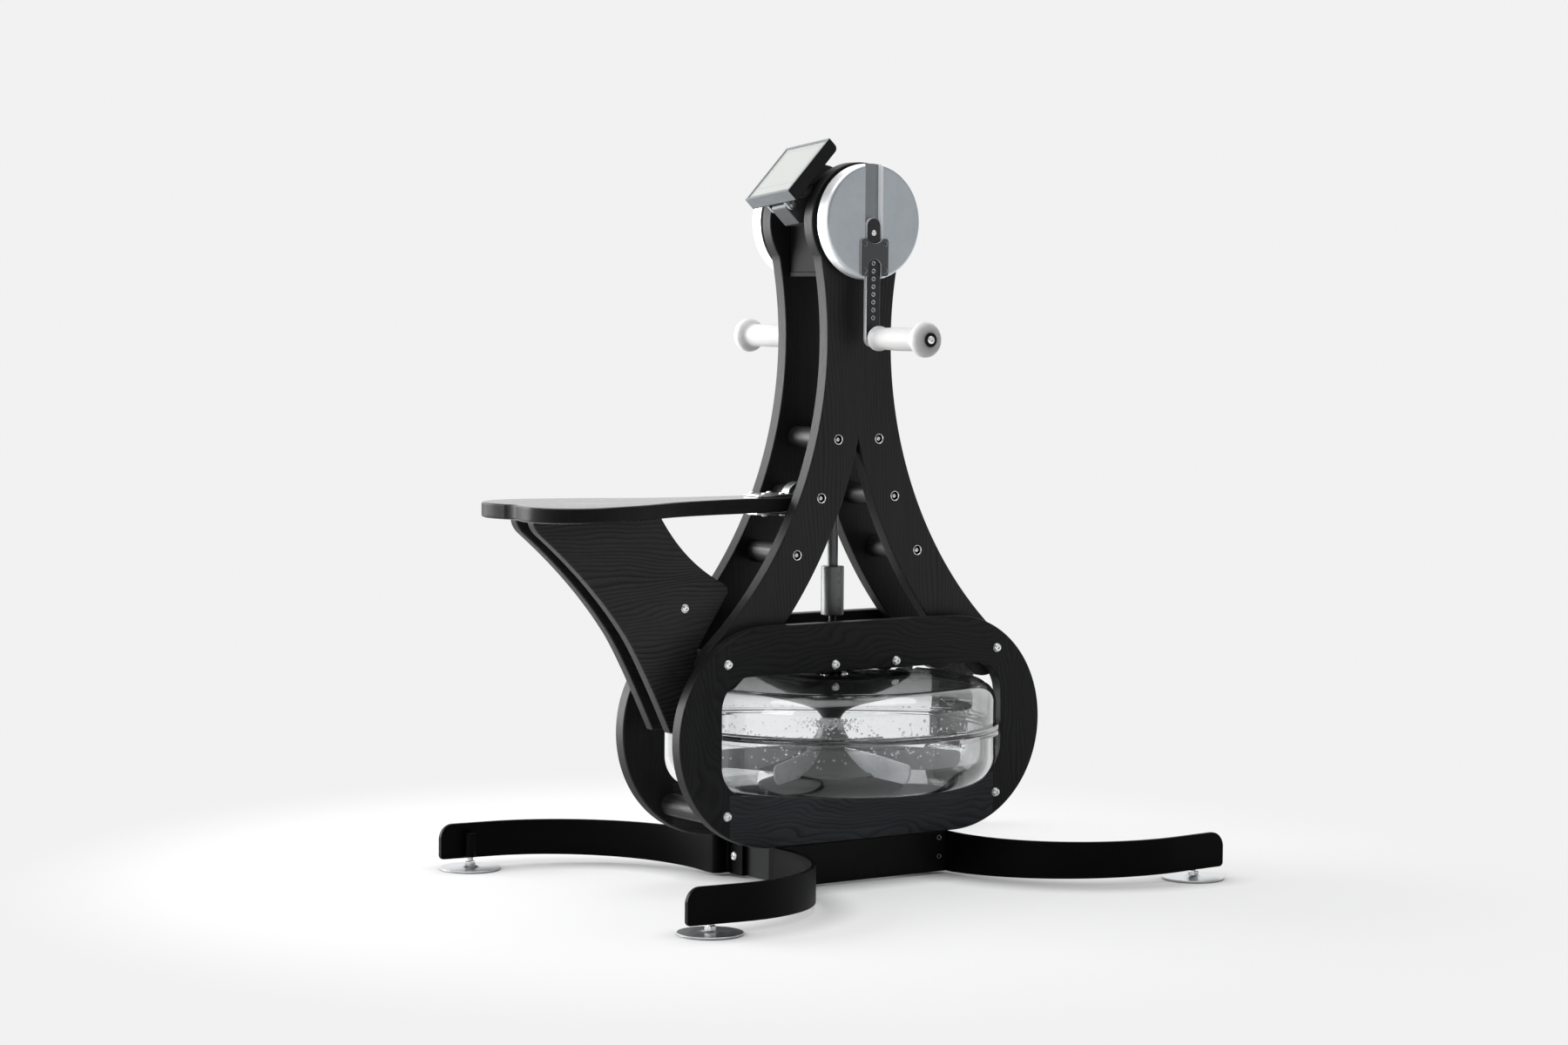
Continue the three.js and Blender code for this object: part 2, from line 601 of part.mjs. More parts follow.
// ---- bevel gears --------------------------------------------------------------------------------
// A straight bevel gear about +Y whose pitch cone has its tip at the origin.
function bevelGear(teeth, pitchR, mateR, turn, hubR, hubEnd) {
  const slope = Math.atan2(pitchR, mateR);
  const cone = Math.hypot(pitchR, mateR);
  const inner = cone - 14;
  const crest = 0.7 * TOOTH_MODULE;
  const root = 1.05 * TOOTH_MODULE;
  const at = (distance, lift) => [
    distance * Math.sin(slope) + lift * Math.cos(slope) * distance / cone,
    distance * Math.cos(slope) - lift * Math.sin(slope) * distance / cone,
  ];
  const [rootIn, rootInY] = at(inner, -root);
  const [rootOut, rootOutY] = at(cone, -root);
  const body = new THREE.LatheGeometry([
    [0, rootInY], [rootIn, rootInY], [rootOut, rootOutY], [rootOut - 3, rootOutY + 4],
    [hubR, rootOutY + 5], [hubR, hubEnd], [0, hubEnd],
  ].map(([r, y]) => new THREE.Vector2(r, y)), 18);
  const solids = [];
  for (let i = 0; i < teeth; i += 1) {
    const corners = [];
    for (const distance of [inner, cone]) {
      for (const [lift, half] of [[-root - 1, 3.0], [crest, 1.2]]) {
        const [radius, y] = at(distance, lift);
        const wide = half * distance / cone;
        corners.push([radius, y, -wide], [radius, y, wide]);
      }
    }
    const tooth = new THREE.BufferGeometry();
    tooth.setAttribute('position', new THREE.Float32BufferAttribute(corners.flat(), 3));
    tooth.setIndex([0, 1, 3, 0, 3, 2, 4, 6, 7, 4, 7, 5, 0, 4, 5, 0, 5, 1, 2, 3, 7, 2, 7, 6,
      0, 2, 6, 0, 6, 4, 1, 5, 7, 1, 7, 3]);
    solids.push(tooth.rotateY((i / teeth + turn) * TURN));
  }
  return joined(body, ...solids);
}

// The crank gear sits towards +Y of the meeting point; a bore clears the axle.
const crankGear = cutBy(
  bevelGear(GEAR_TEETH, GEAR_R, PINION_R, 0.25, 20, 37),
  rodY(AXLE_R + GAP, -5, 60, 0, 0, 20),
);
addPart('crank_bevel_gear', crankGear.translate(0, 0, CRANK_Z), 'darkSteel');

// The pinion is cut on the top end of the drive shaft.
const PINION_END = 62;
const pinion = bevelGear(PINION_TEETH, PINION_R, GEAR_R, 0.5 / PINION_TEETH + 0.25, 13, PINION_END);
addPart('drive_shaft', joined(
  pinion.rotateX(-Math.PI / 2).translate(0, 0, CRANK_Z),
  rodZ(SHAFT_R, COUPLING_HIGH - 20, CRANK_Z - PINION_END + 1, 0, 0, 16),
), 'darkSteel');

// ---- gear housing -------------------------------------------------------------------------------
const HOUSING_BUSH_R = 19;

function gearHousing() {
  const half = TOWER_IN - GAP;
  const outer = slab(roundedRectangle(-HOUSING_HALF, HOUSING_HALF, -half, half, 10),
    HOUSING_LOW, HOUSING_HIGH, 3);
  const inner = slab(
    roundedRectangle(-HOUSING_HALF + HOUSING_WALL, HOUSING_HALF - HOUSING_WALL,
      -half + HOUSING_WALL, half - HOUSING_WALL, 5),
    HOUSING_LOW + 10, HOUSING_HIGH - HOUSING_WALL, 2);
  return cutBy(outer, inner,
    rodY(AXLE_R + 1.5, -half - 5, half + 5, 0, CRANK_Z, 20),
    rodZ(HOUSING_BUSH_R + GAP, HOUSING_LOW - 5, HOUSING_LOW + 20, 0, 0, 20));
}

addPart('gear_housing', gearHousing(), 'darkSteel');

// ---- drive shaft and paddle ---------------------------------------------------------------------
const ringZ = (inner, outer, low, high, sides = 20) => turnedZ([
  [inner, low], [outer, low], [outer, high], [inner, high], [inner, low]], sides);

addPart('shaft_upper_bush', ringZ(SHAFT_R + GAP, HOUSING_BUSH_R, HOUSING_LOW + 0.5, HOUSING_LOW + 12),
  'brightSteel');
addPart('shaft_coupling', cutBy(
  turnedZ([
    [0, COUPLING_LOW], [COUPLING_R - 1, COUPLING_LOW], [COUPLING_R, COUPLING_LOW + 1],
    [COUPLING_R, COUPLING_HIGH - 1], [COUPLING_R - 1, COUPLING_HIGH], [0, COUPLING_HIGH],
  ], 24),
  rodZ(SHAFT_R + GAP, COUPLING_HIGH - 21, COUPLING_HIGH + 5, 0, 0, 16),
  rodZ(SPLINE_R + GAP, COUPLING_LOW - 5, COUPLING_LOW + 31, 0, 0, 12),
), 'blackSteel');

const BLADES = 6;
const BLADE_R = 214;

function paddle() {
  const shaft = rodZ(SPLINE_R, 172, COUPLING_LOW + 30, 0, 0, 12);
  const hub = turnedZ([[0, 170], [66, 170], [66, 190], [24, 232], [15, 246], [13, 262], [0, 262]], 18);
  const blades = Array.from({ length: BLADES }, (_, i) => {
    const outline = new THREE.Shape();
    outline.moveTo(0, 172);
    outline.lineTo(BLADE_R - 20, 172);
    outline.quadraticCurveTo(BLADE_R, 174, BLADE_R, 194);
    outline.lineTo(BLADE_R, 228);
    outline.lineTo(60, 216);
    outline.lineTo(0, 216);
    return board(outline, -1.5, 1.5, 2).rotateZ(TURN * (i + 0.5) / BLADES);
  });
  return joined(shaft, hub, ...blades);
}

addPart('paddle', paddle(), 'darkPlastic');

// Block between the tank plates that holds the shaft upright over the tank's neck.
const BLOCK_HALF = BOLT_MIDDLE[0] - BAR_R - 1;
const BLOCK_LOW = NECK_TOP + 1;
addPart('shaft_block', cutBy(
  box(-BLOCK_HALF, BLOCK_HALF, -PLATE_IN + GAP, PLATE_IN - GAP, BLOCK_LOW, BLOCK_LOW + 30),
  rodZ(16.3, BLOCK_LOW - 5, BLOCK_LOW + 40, 0, 0, 20),
), 'blackSteel');
addPart('shaft_lower_bush', ringZ(SPLINE_R + GAP, 16, BLOCK_LOW + 2, BLOCK_LOW + 31), 'brightSteel');

// ---- seat ---------------------------------------------------------------------------------------
const [hingeX, hingeZ] = [-BOLTS_TOWER[1][0], BOLTS_TOWER[1][1]];
const SEAT_FRONT = hingeX - BAR_R - 6.2;

function seatOutline() {
  const far = [
    [SEAT_FRONT, 38], [-200, 41], [-276, 50], [-345, 67], [-400, 92], [-450, 113], [-510, 129],
    [-560, 128], [-594, 108], [SEAT_REAR + 2, 76], [SEAT_REAR + 0.6, 50], [SEAT_REAR + 7, 20],
  ].map(([x, y]) => new THREE.Vector2(x, y));
  const near = far.map(({ x, y }) => new THREE.Vector2(x, -y)).reverse();
  const outline = new THREE.Shape();
  outline.moveTo(far[0].x, far[0].y);
  outline.splineThru(far.slice(1));
  outline.quadraticCurveTo(SEAT_REAR + 18, 0, near[0].x, near[0].y);
  outline.splineThru(near.slice(1));
  outline.lineTo(far[0].x, far[0].y);
  return outline;
}

function seatSupport(side) {
  const outline = new THREE.Shape();
  outline.moveTo(-587, SEAT_TOP - SEAT_T - GAP);
  outline.quadraticCurveTo(-586, 587, -575, 577);
  outline.quadraticCurveTo(-482, 501, -424, 421);
  outline.quadraticCurveTo(-397, 386, -336, 257);
  outline.lineTo(-309, 257);
  outline.bezierCurveTo(-305, 290, -294, 335, -285.5, 352);
  outline.lineTo(-285.5, 385);
  outline.quadraticCurveTo(-268, 412, -230, 470);
  outline.quadraticCurveTo(-224, 482, -236, 489);
  outline.bezierCurveTo(-290, 516, -326, 552, -355, SEAT_TOP - SEAT_T - GAP);
  const hole = rodY(BOLT_R + GAP, side * 25 - 20, side * 25 + 20, ...SEAT_BOLT, 8);
  return cutBy(board(outline, ...span(side, SUPPORT_IN, SUPPORT_OUT), 7), hole);
}

addPart('seat_board', slab(seatOutline(), SEAT_TOP - SEAT_T, SEAT_TOP, 4), 'wood');
for (const [word, side] of SIDES) {
  addPart(`seat_support_${word}`, seatSupport(side), 'wood');
}
addPart('seat_through_bolt', joined(
  rodY(14, -SUPPORT_IN + GAP, SUPPORT_IN - GAP, ...SEAT_BOLT),
  rodY(BOLT_R, -SUPPORT_OUT - 1, SUPPORT_OUT + 1, ...SEAT_BOLT, 8),
  rodY(HEAD_BOLT_R, SUPPORT_OUT + GAP, SUPPORT_OUT + HEAD_BOLT, ...SEAT_BOLT, 10),
  rodY(HEAD_BOLT_R, -SUPPORT_OUT - HEAD_BOLT, -SUPPORT_OUT - GAP, ...SEAT_BOLT, 10),
), 'brightSteel');

// Two plates clasp the front of the seat board and end in a hook over the middle crossbar.
function seatHook() {
  const reach = BAR_R + 0.6;
  const hook = new THREE.Shape();
  hook.absarc(hingeX, hingeZ, reach + 5, Math.PI, -Math.PI / 6, true);
  hook.absarc(hingeX, hingeZ, reach, -Math.PI / 6, Math.PI, false);
  const webX = hingeX - reach;
  const top = SEAT_TOP + GAP;
  const bottom = SEAT_TOP - SEAT_T - GAP;
  return joined(
    board(hook, -10, 10, 14),
    box(webX - 5, webX, -28, 28, bottom - 4, top + 4),
    box(-162, webX - 3, -28, 28, top, top + 4),
    box(-165, webX - 3, -28, 28, bottom - 4, bottom),
  );
}

addPart('seat_hook', seatHook(), 'brightSteel');

// ---- monitor ------------------------------------------------------------------------------------
// The monitor is drawn lying down: X across its height, Y across its width, Z out of its face.
const monitor = new THREE.Group();
monitor.position.set(-95.5, 0, 1147);
const roll = new THREE.Matrix4().makeRotationX(degrees(-6.1));
const tilt = new THREE.Matrix4().makeRotationY(degrees(-44.7));
monitor.setRotationFromMatrix(roll.multiply(tilt));
machine.add(monitor);

const PIVOT = [-MONITOR_H / 2 + 10, -MONITOR_T - 12];   // pivot pin, across the height and behind the face
const PIVOT_R = 4;
const EAR = 21;

function monitorCase() {
  const halfH = MONITOR_H / 2;
  const halfW = MONITOR_W / 2;
  const shell = slab(roundedRectangle(-halfH, halfH, -halfW, halfW, 3), -MONITOR_T, 0, 2);
  const recess = box(-halfH + 5, halfH - 5, -halfW + 5, halfW - 5, -3, 2);
  const back = box(-halfH + 24, halfH - 8, -TOWER_IN + 3, TOWER_IN - 3, -MONITOR_T - 5, -MONITOR_T + 1);
  const ears = SIDES.map(([, side]) => (
    joined(
      box(PIVOT[0] - 8, PIVOT[0] + 8, ...span(side, EAR, EAR + 5), PIVOT[1], -MONITOR_T + 1),
      rodY(8, ...span(side, EAR, EAR + 5), ...PIVOT),
    )));
  const pin = rodY(PIVOT_R, -EAR - 8, EAR + 8, ...PIVOT, 12);
  return joined(cutBy(shell, recess), back, ...ears, pin);
}

function monitorBracket() {
  const low = PIVOT[0] - 10;
  const high = PIVOT[0] + 10;
  const nose = rodY(9, -EAR + 1, EAR - 1, ...PIVOT);
  const arm = box(low + 1, high - 1, -EAR + 1, EAR - 1, PIVOT[1] - 70, PIVOT[1]);
  return cutBy(joined(arm, nose), rodY(PIVOT_R + GAP, -EAR - 5, EAR + 5, ...PIVOT, 12));
}

// The bracket ends flat against the housing, so the housing's block is cut from it where they meet.
monitor.updateMatrixWorld(true);
machine.updateMatrixWorld(true);
const toMonitor = monitor.matrixWorld.clone().invert().multiply(machine.matrixWorld);
const housingBlock = box(-HOUSING_HALF - GAP, 200, -100, 100, HOUSING_LOW - 50, HOUSING_HIGH + 100)
  .applyMatrix4(toMonitor);
addPart('monitor_bracket', cutBy(monitorBracket(), housingBlock), 'darkSteel', monitor);
addPart('monitor_case', monitorCase(), 'wood', monitor);
addPart('monitor_screen', box(-MONITOR_H / 2 + 5.3, MONITOR_H / 2 - 5.3, -MONITOR_W / 2 + 5.3,
  MONITOR_W / 2 - 5.3, -3 + GAP, -0.6), 'screen', monitor);

export default machine;
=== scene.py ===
"""Looks of the hand-crank water ergometer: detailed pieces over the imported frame, materials, light and camera."""
import math
import random

import bmesh
import bpy
from mathutils import Matrix, Vector


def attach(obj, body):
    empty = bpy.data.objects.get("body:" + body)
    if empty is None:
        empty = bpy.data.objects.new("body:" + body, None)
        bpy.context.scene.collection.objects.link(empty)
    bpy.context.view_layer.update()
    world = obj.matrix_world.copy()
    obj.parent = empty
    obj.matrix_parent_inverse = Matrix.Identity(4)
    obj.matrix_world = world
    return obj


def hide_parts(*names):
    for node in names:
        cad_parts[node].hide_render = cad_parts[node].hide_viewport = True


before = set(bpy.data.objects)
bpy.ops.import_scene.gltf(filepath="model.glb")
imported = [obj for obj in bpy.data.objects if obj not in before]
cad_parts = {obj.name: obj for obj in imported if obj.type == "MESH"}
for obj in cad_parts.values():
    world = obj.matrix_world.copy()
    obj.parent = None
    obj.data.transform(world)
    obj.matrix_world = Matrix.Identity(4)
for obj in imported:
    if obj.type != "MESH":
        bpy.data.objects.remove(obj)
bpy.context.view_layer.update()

SHAFT_X = 0.045                       # the drive shaft's place along X, in metres
SIDES = (("near", -1), ("far", 1))
ENDS = (("seat", -1), ("front", 1))
TURN = 2 * math.pi
QUARTER = math.pi / 2

# ---- node helpers ----


def math_node(operation, swapped=False):
    """A method that adds a math node to the tree of a value."""
    def method(value, other=0.0):
        first, second = (other, value) if swapped else (value, other)
        return value.nodes.add("ShaderNodeMath", {0: first, 1: second}, operation=operation)
    return method


class Value:
    """A node's output, so that sums of outputs are written as sums."""

    def __init__(self, nodes, socket):
        self.nodes = nodes
        self.socket = socket

    __add__ = math_node("ADD")
    __sub__ = math_node("SUBTRACT")
    __rsub__ = math_node("SUBTRACT", swapped=True)
    __mul__ = math_node("MULTIPLY")
    __pow__ = math_node("POWER")
    __gt__ = math_node("GREATER_THAN")
    __lt__ = math_node("LESS_THAN")
    __abs__ = math_node("ABSOLUTE")
    at_least = math_node("MAXIMUM")
    fraction = math_node("FRACT")

    def clamped(self):
        """Keeps the math node's result between 0 and 1."""
        self.socket.node.use_clamp = True
        return self


class Nodes:
    """A short way to write a material's node tree."""

    def __init__(self, name):
        self.material = bpy.data.materials.new(name)
        self.material.use_nodes = True
        self.tree = self.material.node_tree
        self.bsdf = self.tree.nodes["Principled BSDF"]
        self.lit = Value(self, self.bsdf.outputs[0])

    def feed(self, socket, value):
        """Links an output to a socket, or sets the socket's own value; a colour gets its alpha."""
        if isinstance(value, Value):
            self.tree.links.new(value.socket, socket)
        elif socket.type == "RGBA":
            socket.default_value = (*value, 1)
        else:
            socket.default_value = value

    def node(self, kind, inputs, settings):
        node = self.tree.nodes.new(kind)
        for key, value in settings.items():
            setattr(node, key, value)
        for key, value in inputs.items():
            self.feed(node.inputs[key], value)
        return node

    def add(self, kind, inputs=None, out=0, **settings):
        """Adds a node and returns one of its outputs."""
        return Value(self, self.node(kind, inputs or {}, settings).outputs[out])

    def split(self, vector):
        node = self.node("ShaderNodeSeparateXYZ", {0: vector}, {})
        return [Value(self, socket) for socket in node.outputs]

    def coords(self, kind="Object"):
        return self.add("ShaderNodeTexCoord", out=kind)

    def remap(self, vector, scale=(1, 1, 1), turn=(0, 0, 0), shift=(0, 0, 0)):
        return self.add("ShaderNodeMapping", {"Vector": vector, "Location": shift, "Scale": scale,
                                              "Rotation": [math.radians(a) for a in turn]})

    def noise(self, vector, scale, detail=3.0, roughness=0.5):
        return self.add("ShaderNodeTexNoise", {"Vector": vector, "Scale": scale, "Detail": detail,
                                               "Roughness": roughness})

    def ramp(self, value, *stops):
        node = self.node("ShaderNodeValToRGB", {"Fac": value}, {})
        elements = node.color_ramp.elements
        while len(elements) < len(stops):
            elements.new(0.5)
        for element, (position, color) in zip(elements, stops):
            element.position = position
            element.color = (*color, 1)
        return Value(self, node.outputs[0])

    def fade(self, value, start, end, **settings):
        """0 where the value is at start, 1 where it is at end."""
        return self.add("ShaderNodeMapRange", {"Value": value, "From Min": start, "From Max": end}, **settings)

    def blend(self, factor, first, second):
        return self.add("ShaderNodeMix", {0: factor, 6: first, 7: second}, out=2, data_type="RGBA")

    def scale(self, vector, factor):
        return self.add("ShaderNodeVectorMath", {0: vector, "Scale": factor}, operation="SCALE")

    def bump(self, height, distance, strength):
        return self.add("ShaderNodeBump", {"Height": height, "Distance": distance, "Strength": strength})

    def out(self, **sockets):
        for name, value in sockets.items():
            self.feed(self.bsdf.inputs[name.replace("_", " ")], value)

    def surface(self, shader):
        self.feed(self.tree.nodes["Material Output"].inputs[0], shader)


def nodes_for(name):
    """A material's nodes."""
    return Nodes(name)


def shade(value, color=(1.0, 1.0, 1.0)):
    return tuple(min(value * part, 1.0) for part in color)


BLOCK_REACH = 0.262                   # from the shaft to the glue joint of a tank plate's end block
RAIL_TOP = 0.16                       # the lower rail of a tank plate lies under this height


def wood(name, turn, shift, lines=150.0, sway=7.0, low=0.0016, high=0.0145, along=1.0, depth=1.0,
         end_blocks=False, tint=(1.0, 1.01, 1.04), flat_axis=1, edge_tone=0.017, rough_base=0.36,
         specular=0.30, lit=None, edge_shine=0.5):
    """Black-stained ash.  turn brings the grain onto local X and the board's face normal onto local Z.

    The growth lines are the contours of a stretched noise, so they close into eyes and long arches.
    lines is their number per metre and sway their waviness; low and high are the tones of the stain,
    edge_tone that of the edges, and lit is the colour of a painted highlight on the faces that are turned towards
    the seat."""
    n = nodes_for(name)
    coords = n.coords()
    if end_blocks:
        # the rounded ends are blocks with upright grain, glued to the rails between them
        x, y, z = n.split(coords)
        away = abs(x - SHAFT_X)
        ends = away > BLOCK_REACH
        joint = abs(away - BLOCK_REACH) < 0.00025
        upright = n.add("ShaderNodeCombineXYZ", {0: z, 1: y, 2: x})
        coords = n.add("ShaderNodeMix", {0: ends, 4: coords, 5: upright}, out=1, data_type="VECTOR")
    grain = n.remap(coords, turn=turn, shift=shift)
    normal = n.split(n.coords("Normal"))
    edge = n.fade(abs(normal[flat_axis]), 0.75, 0.35)

    def figure(length, width, thick, detail, roughness):
        return n.noise(n.remap(grain, (length * along, width, thick)), 1.0, detail, roughness)

    broad = figure(1.1, 4.2, 5.0, 1.5, 0.4)
    bend = figure(3.0, 11.0, 9.0, 2.0, 0.45)
    shiver = figure(16.0, 120.0, 60.0, 2.0, 0.5)
    _, across, through = n.split(grain)
    place = across * lines + broad * (sway * 2.2) + bend * sway + shiver * 0.18 + through * (lines * 0.35)
    ring = place.fraction()
    strength = figure(1.6, 14.0, 10.0, 2.0, 0.5)
    line = n.ramp(ring, (0.0, shade(0.0)), (0.42, shade(0.10)), (0.80, shade(0.80)), (0.90, shade(1.0)),
                  (1.0, shade(0.0)))
    line = line * (strength * 1.5 - 0.1).clamped() * (1.0 - edge * 0.8)
    fibre = figure(11.0, 330.0, 330.0, 4.0, 0.62)
    streak = figure(5.0, 75.0, 60.0, 3.0, 0.6)
    pores = figure(70.0, 1500.0, 1500.0, 2.0, 0.6)
    early = ring < 0.4
    pore = ((pores - 0.56).clamped() * 6.0).clamped() * (early * 0.7 + 0.3)
    cloud = n.noise(n.remap(grain, (2.2, 6.0, 6.0)), 1.0, 3.0, 0.6)
    tone = fibre * 0.55 + streak * 0.45 + cloud * 0.45 + 0.08 * depth - line * (0.52 * depth)
    tone = (tone - pore * 0.22).clamped()
    color = n.ramp(tone, (0.10, shade(low, tint)), (0.50, shade(low + 0.35 * (high - low), tint)),
                   (0.95, shade(high, tint)))
    if end_blocks:
        # painted light: the lower rail is made lighter, as if lit from the floor below
        color = n.scale(color, (z < RAIL_TOP) * (1.0 - ends) * 2.4 + 1.0)
    color = n.blend(edge, color, n.ramp(fibre, (0.3, shade(edge_tone * 0.72)), (0.7, shade(edge_tone * 1.28))))
    rough = fibre * 0.20 + (line * 0.14 + rough_base)
    height = fibre * 0.25 - (pore * 0.9 + line * 0.12)
    if end_blocks:
        height = height - joint
    if lit:
        # painted highlight: the faces turned towards the seat get a lighter grey, standing in for light falling on
        # them
        turned = n.fade(normal[0] * -1.0, 0.5, 0.66)
        color = n.blend(turned, color, n.ramp(fibre, (0.3, shade(0.8, lit)), (0.7, lit)))
    n.out(Base_Color=color, Roughness=rough.at_least(edge * 0.47), Normal=n.bump(height, 0.00014, 0.8), IOR=1.45,
          Specular_IOR_Level=(1.0 - edge * (1.0 - edge_shine)) * specular)
    return n.material


def painted_steel(name, base=0.004, roughness=0.42, tint=(1, 1, 1), specular=0.14):
    """Satin powder coat: fine orange peel, slight cloudiness."""
    n = nodes_for(name)
    place = n.coords()
    peel = n.noise(place, 900.0, 2.0, 0.5)
    cloud = n.noise(place, 14.0, 4.0, 0.55)
    speck = n.noise(place, 2600.0, 1.0)
    tone = n.ramp(cloud * 0.7 + speck * 0.3, (0.3, shade(base * 0.8, tint)), (0.7, shade(base * 1.25, tint)))
    n.out(Base_Color=tone, Roughness=cloud * 0.12 + (roughness - 0.06), Normal=n.bump(peel, 0.00005, 0.5),
          Specular_IOR_Level=specular)
    return n.material


def metal(name, color, roughness=0.3, brush=(700.0, 700.0, 700.0), grit=0.0, metallic=1.0, sides=None,
          sunk=0.0):
    """Bare metal.  brush stretches the fine scratches; grit gives a blasted surface.

    sides is the colour of a painted highlight on the faces that don't face Y; sunk paints shade, darkening what
    lies nearer the middle plane."""
    n = nodes_for(name)
    place = n.coords()
    scratch = n.noise(n.remap(place, brush), 1.0, 3.0, 0.6)
    cloud = n.noise(place, 26.0, 4.0, 0.6)
    tone = n.ramp(scratch * 0.5 + cloud * 0.5, (0.3, shade(0.86, color)), (0.7, shade(1.1, color)))
    rough = scratch * 0.12 + (cloud * 0.10 + (roughness - 0.1))
    height = scratch + n.noise(place, 1800.0, 2.0) * grit
    if sunk:
        # painted shade: what lies nearer the middle plane, such as the disc's groove, is darkened
        groove = abs(n.split(place)[1]) < sunk
        tone = n.blend(groove, tone, n.blend(0.55, tone, shade(0.06)))
    # painted highlight: faces that don't face Y get the lighter sides colour
    if sides:
        turned = n.fade(abs(n.split(n.coords("Normal"))[1]), 0.93, 0.55)
        tone = n.blend(turned, tone, sides)
        rough = rough - turned * 0.12
        metallic = (1.0 - turned * 0.55) * metallic
    n.out(Base_Color=tone, Roughness=rough, Metallic=metallic, Normal=n.bump(height, 0.00003, 0.35))
    return n.material


def plastic(name, color, roughness=0.4, grain=1400.0, depth=0.00003, specular=0.5, spread=0.06, soft=0.0):
    """Moulded plastic, rubber or foam; soft is how far light travels inside it, in metres."""
    n = nodes_for(name)
    place = n.coords()
    fine = n.noise(place, grain, 2.0, 0.6)
    cloud = n.noise(place, 22.0, 3.0, 0.5)
    tone = n.ramp(fine * 0.4 + cloud * 0.6, (0.3, shade(1 - spread, color)), (0.7, shade(1 + spread, color)))
    n.out(Base_Color=tone, Roughness=cloud * 0.12 + (roughness - 0.06), Normal=n.bump(fine, depth, 0.6),
          Specular_IOR_Level=specular)
    if soft:
        n.out(Subsurface_Weight=1.0, Subsurface_Radius=(1.0, 1.0, 1.0), Subsurface_Scale=soft)
    return n.material


def clear(name, tint, roughness=0.02, ior=1.45, smear=0.02, thick=0.0):
    """Clear plastic that lets lamps through; thick darkens it where a wall is seen edge-on."""
    n = nodes_for(name)
    place = n.coords()
    cloud = n.noise(place, 9.0, 3.0, 0.6)
    tone = n.ramp(cloud, (0.3, shade(0.985, tint)), (0.7, tint))
    if thick:
        facing = n.add("ShaderNodeLayerWeight", {"Blend": 0.5}, out="Facing")
        tone = n.scale(tone, (1.0 - facing ** 2.0 * thick).at_least(0.34))
    n.out(Base_Color=tone, Roughness=(cloud * smear + (roughness - smear * 0.3)).clamped(),
          Normal=n.bump(n.noise(place, 16.0, 1.0, 0.4), 0.0004, 0.25), Transmission_Weight=1.0, IOR=ior)
    shadow = n.add("ShaderNodeLightPath", out="Is Shadow Ray")
    through = n.add("ShaderNodeBsdfTransparent", {"Color": (0.94, 0.95, 0.95)})
    n.surface(n.add("ShaderNodeMixShader", {0: shadow, 1: n.lit, 2: through}))
    return n.material


# ---- materials ----
TOWER_GRAIN, PLATE_GRAIN = (90, 0, 90), (90, 0, 0)
WOOD_TOWER_NEAR = wood("ash_tower_near", TOWER_GRAIN, (0.31, 0.012, 0.055), lines=170, depth=0.9)
WOOD_TOWER_FAR = wood("ash_tower_far", TOWER_GRAIN, (0.83, 0.23, 0.085), lines=170, depth=0.7, high=0.011)
WOOD_PLATE_NEAR = wood("ash_plate_near", PLATE_GRAIN, (0.12, 0.05, 0.048), lines=105, sway=13.0, end_blocks=True,
                       high=0.0100, low=0.0014, depth=1.15, specular=0.2, tint=(0.92, 1.0, 1.14), along=1.7)
WOOD_PLATE_FAR = wood("ash_plate_far", PLATE_GRAIN, (0.57, 0.07, 0.075), lines=105, sway=13.0, end_blocks=True,
                      high=0.010)
WOOD_SEAT = wood("ash_seat", (0, 0, 0), (0.2, 0.015, 0.05), high=0.024, flat_axis=2, rough_base=0.10,
                 specular=0.6, edge_tone=0.008, edge_shine=0.15)
WOOD_SUPPORT_NEAR = wood("ash_support_near", (90, 8, 0), (0.21, 0.022, 0.05), along=1.2, sway=9.0,
                         high=0.029, low=0.0012, depth=1.6, edge_tone=0.033)
WOOD_SUPPORT_FAR = wood("ash_support_far", (90, 6, 0), (0.71, 0.06, 0.04), along=1.2, lines=175, sway=9.0,
                        edge_tone=0.033)
WOOD_DOWEL = wood("ash_dowel", (0, 0, 90), (0.4, 0.01, 0.03), sway=2.5, high=0.03, flat_axis=0)
# lit paints a highlight on the monitor case's faces that are turned towards the seat
WOOD_MONITOR = wood("ash_monitor", (0, 45, 90), (0.1, 0.03, 0.03), sway=3.0, depth=0.6, high=0.010,
                    specular=0.2, lit=(0.21, 0.225, 0.235))
BRACKET_GREY = metal("bracket_grey", (0.085, 0.087, 0.09), 0.5, (60.0, 1400.0, 60.0), metallic=0.4)
BLACK_STEEL = painted_steel("powder_coat", base=0.0035, specular=0.10)
LEG_STEEL = painted_steel("powder_coat_leg", base=0.0012, specular=0.05)
PLATE_STEEL = painted_steel("powder_coat_plate", base=0.010, roughness=0.36,
                            tint=(0.95, 1.02, 0.98))
BLACK_BLOCK = painted_steel("black_block", base=0.005, roughness=0.5)
SHAFT_STEEL = metal("shaft_steel", (0.105, 0.108, 0.112), 0.42, (60.0, 60.0, 900.0), metallic=0.85)
COUPLING_STEEL = metal("coupling_steel", (0.15, 0.153, 0.155), 0.42, (900.0, 900.0, 60.0),
                       metallic=0.8)
HOUSING_STEEL = painted_steel("housing_cast", base=0.008, roughness=0.55, specular=0.05)
# the sides colours of the arm, clamp plate and disc paint highlights on their edges and rims
ARM_STEEL = metal("arm_steel", (0.030, 0.031, 0.033), 0.44, (500.0, 500.0, 60.0), metallic=0.6,
                  sides=(0.75, 0.76, 0.78))
CLAMP_STEEL = metal("clamp_steel", (0.075, 0.077, 0.08), 0.48, grit=0.5, metallic=0.6,
                    sides=(0.5, 0.51, 0.52))
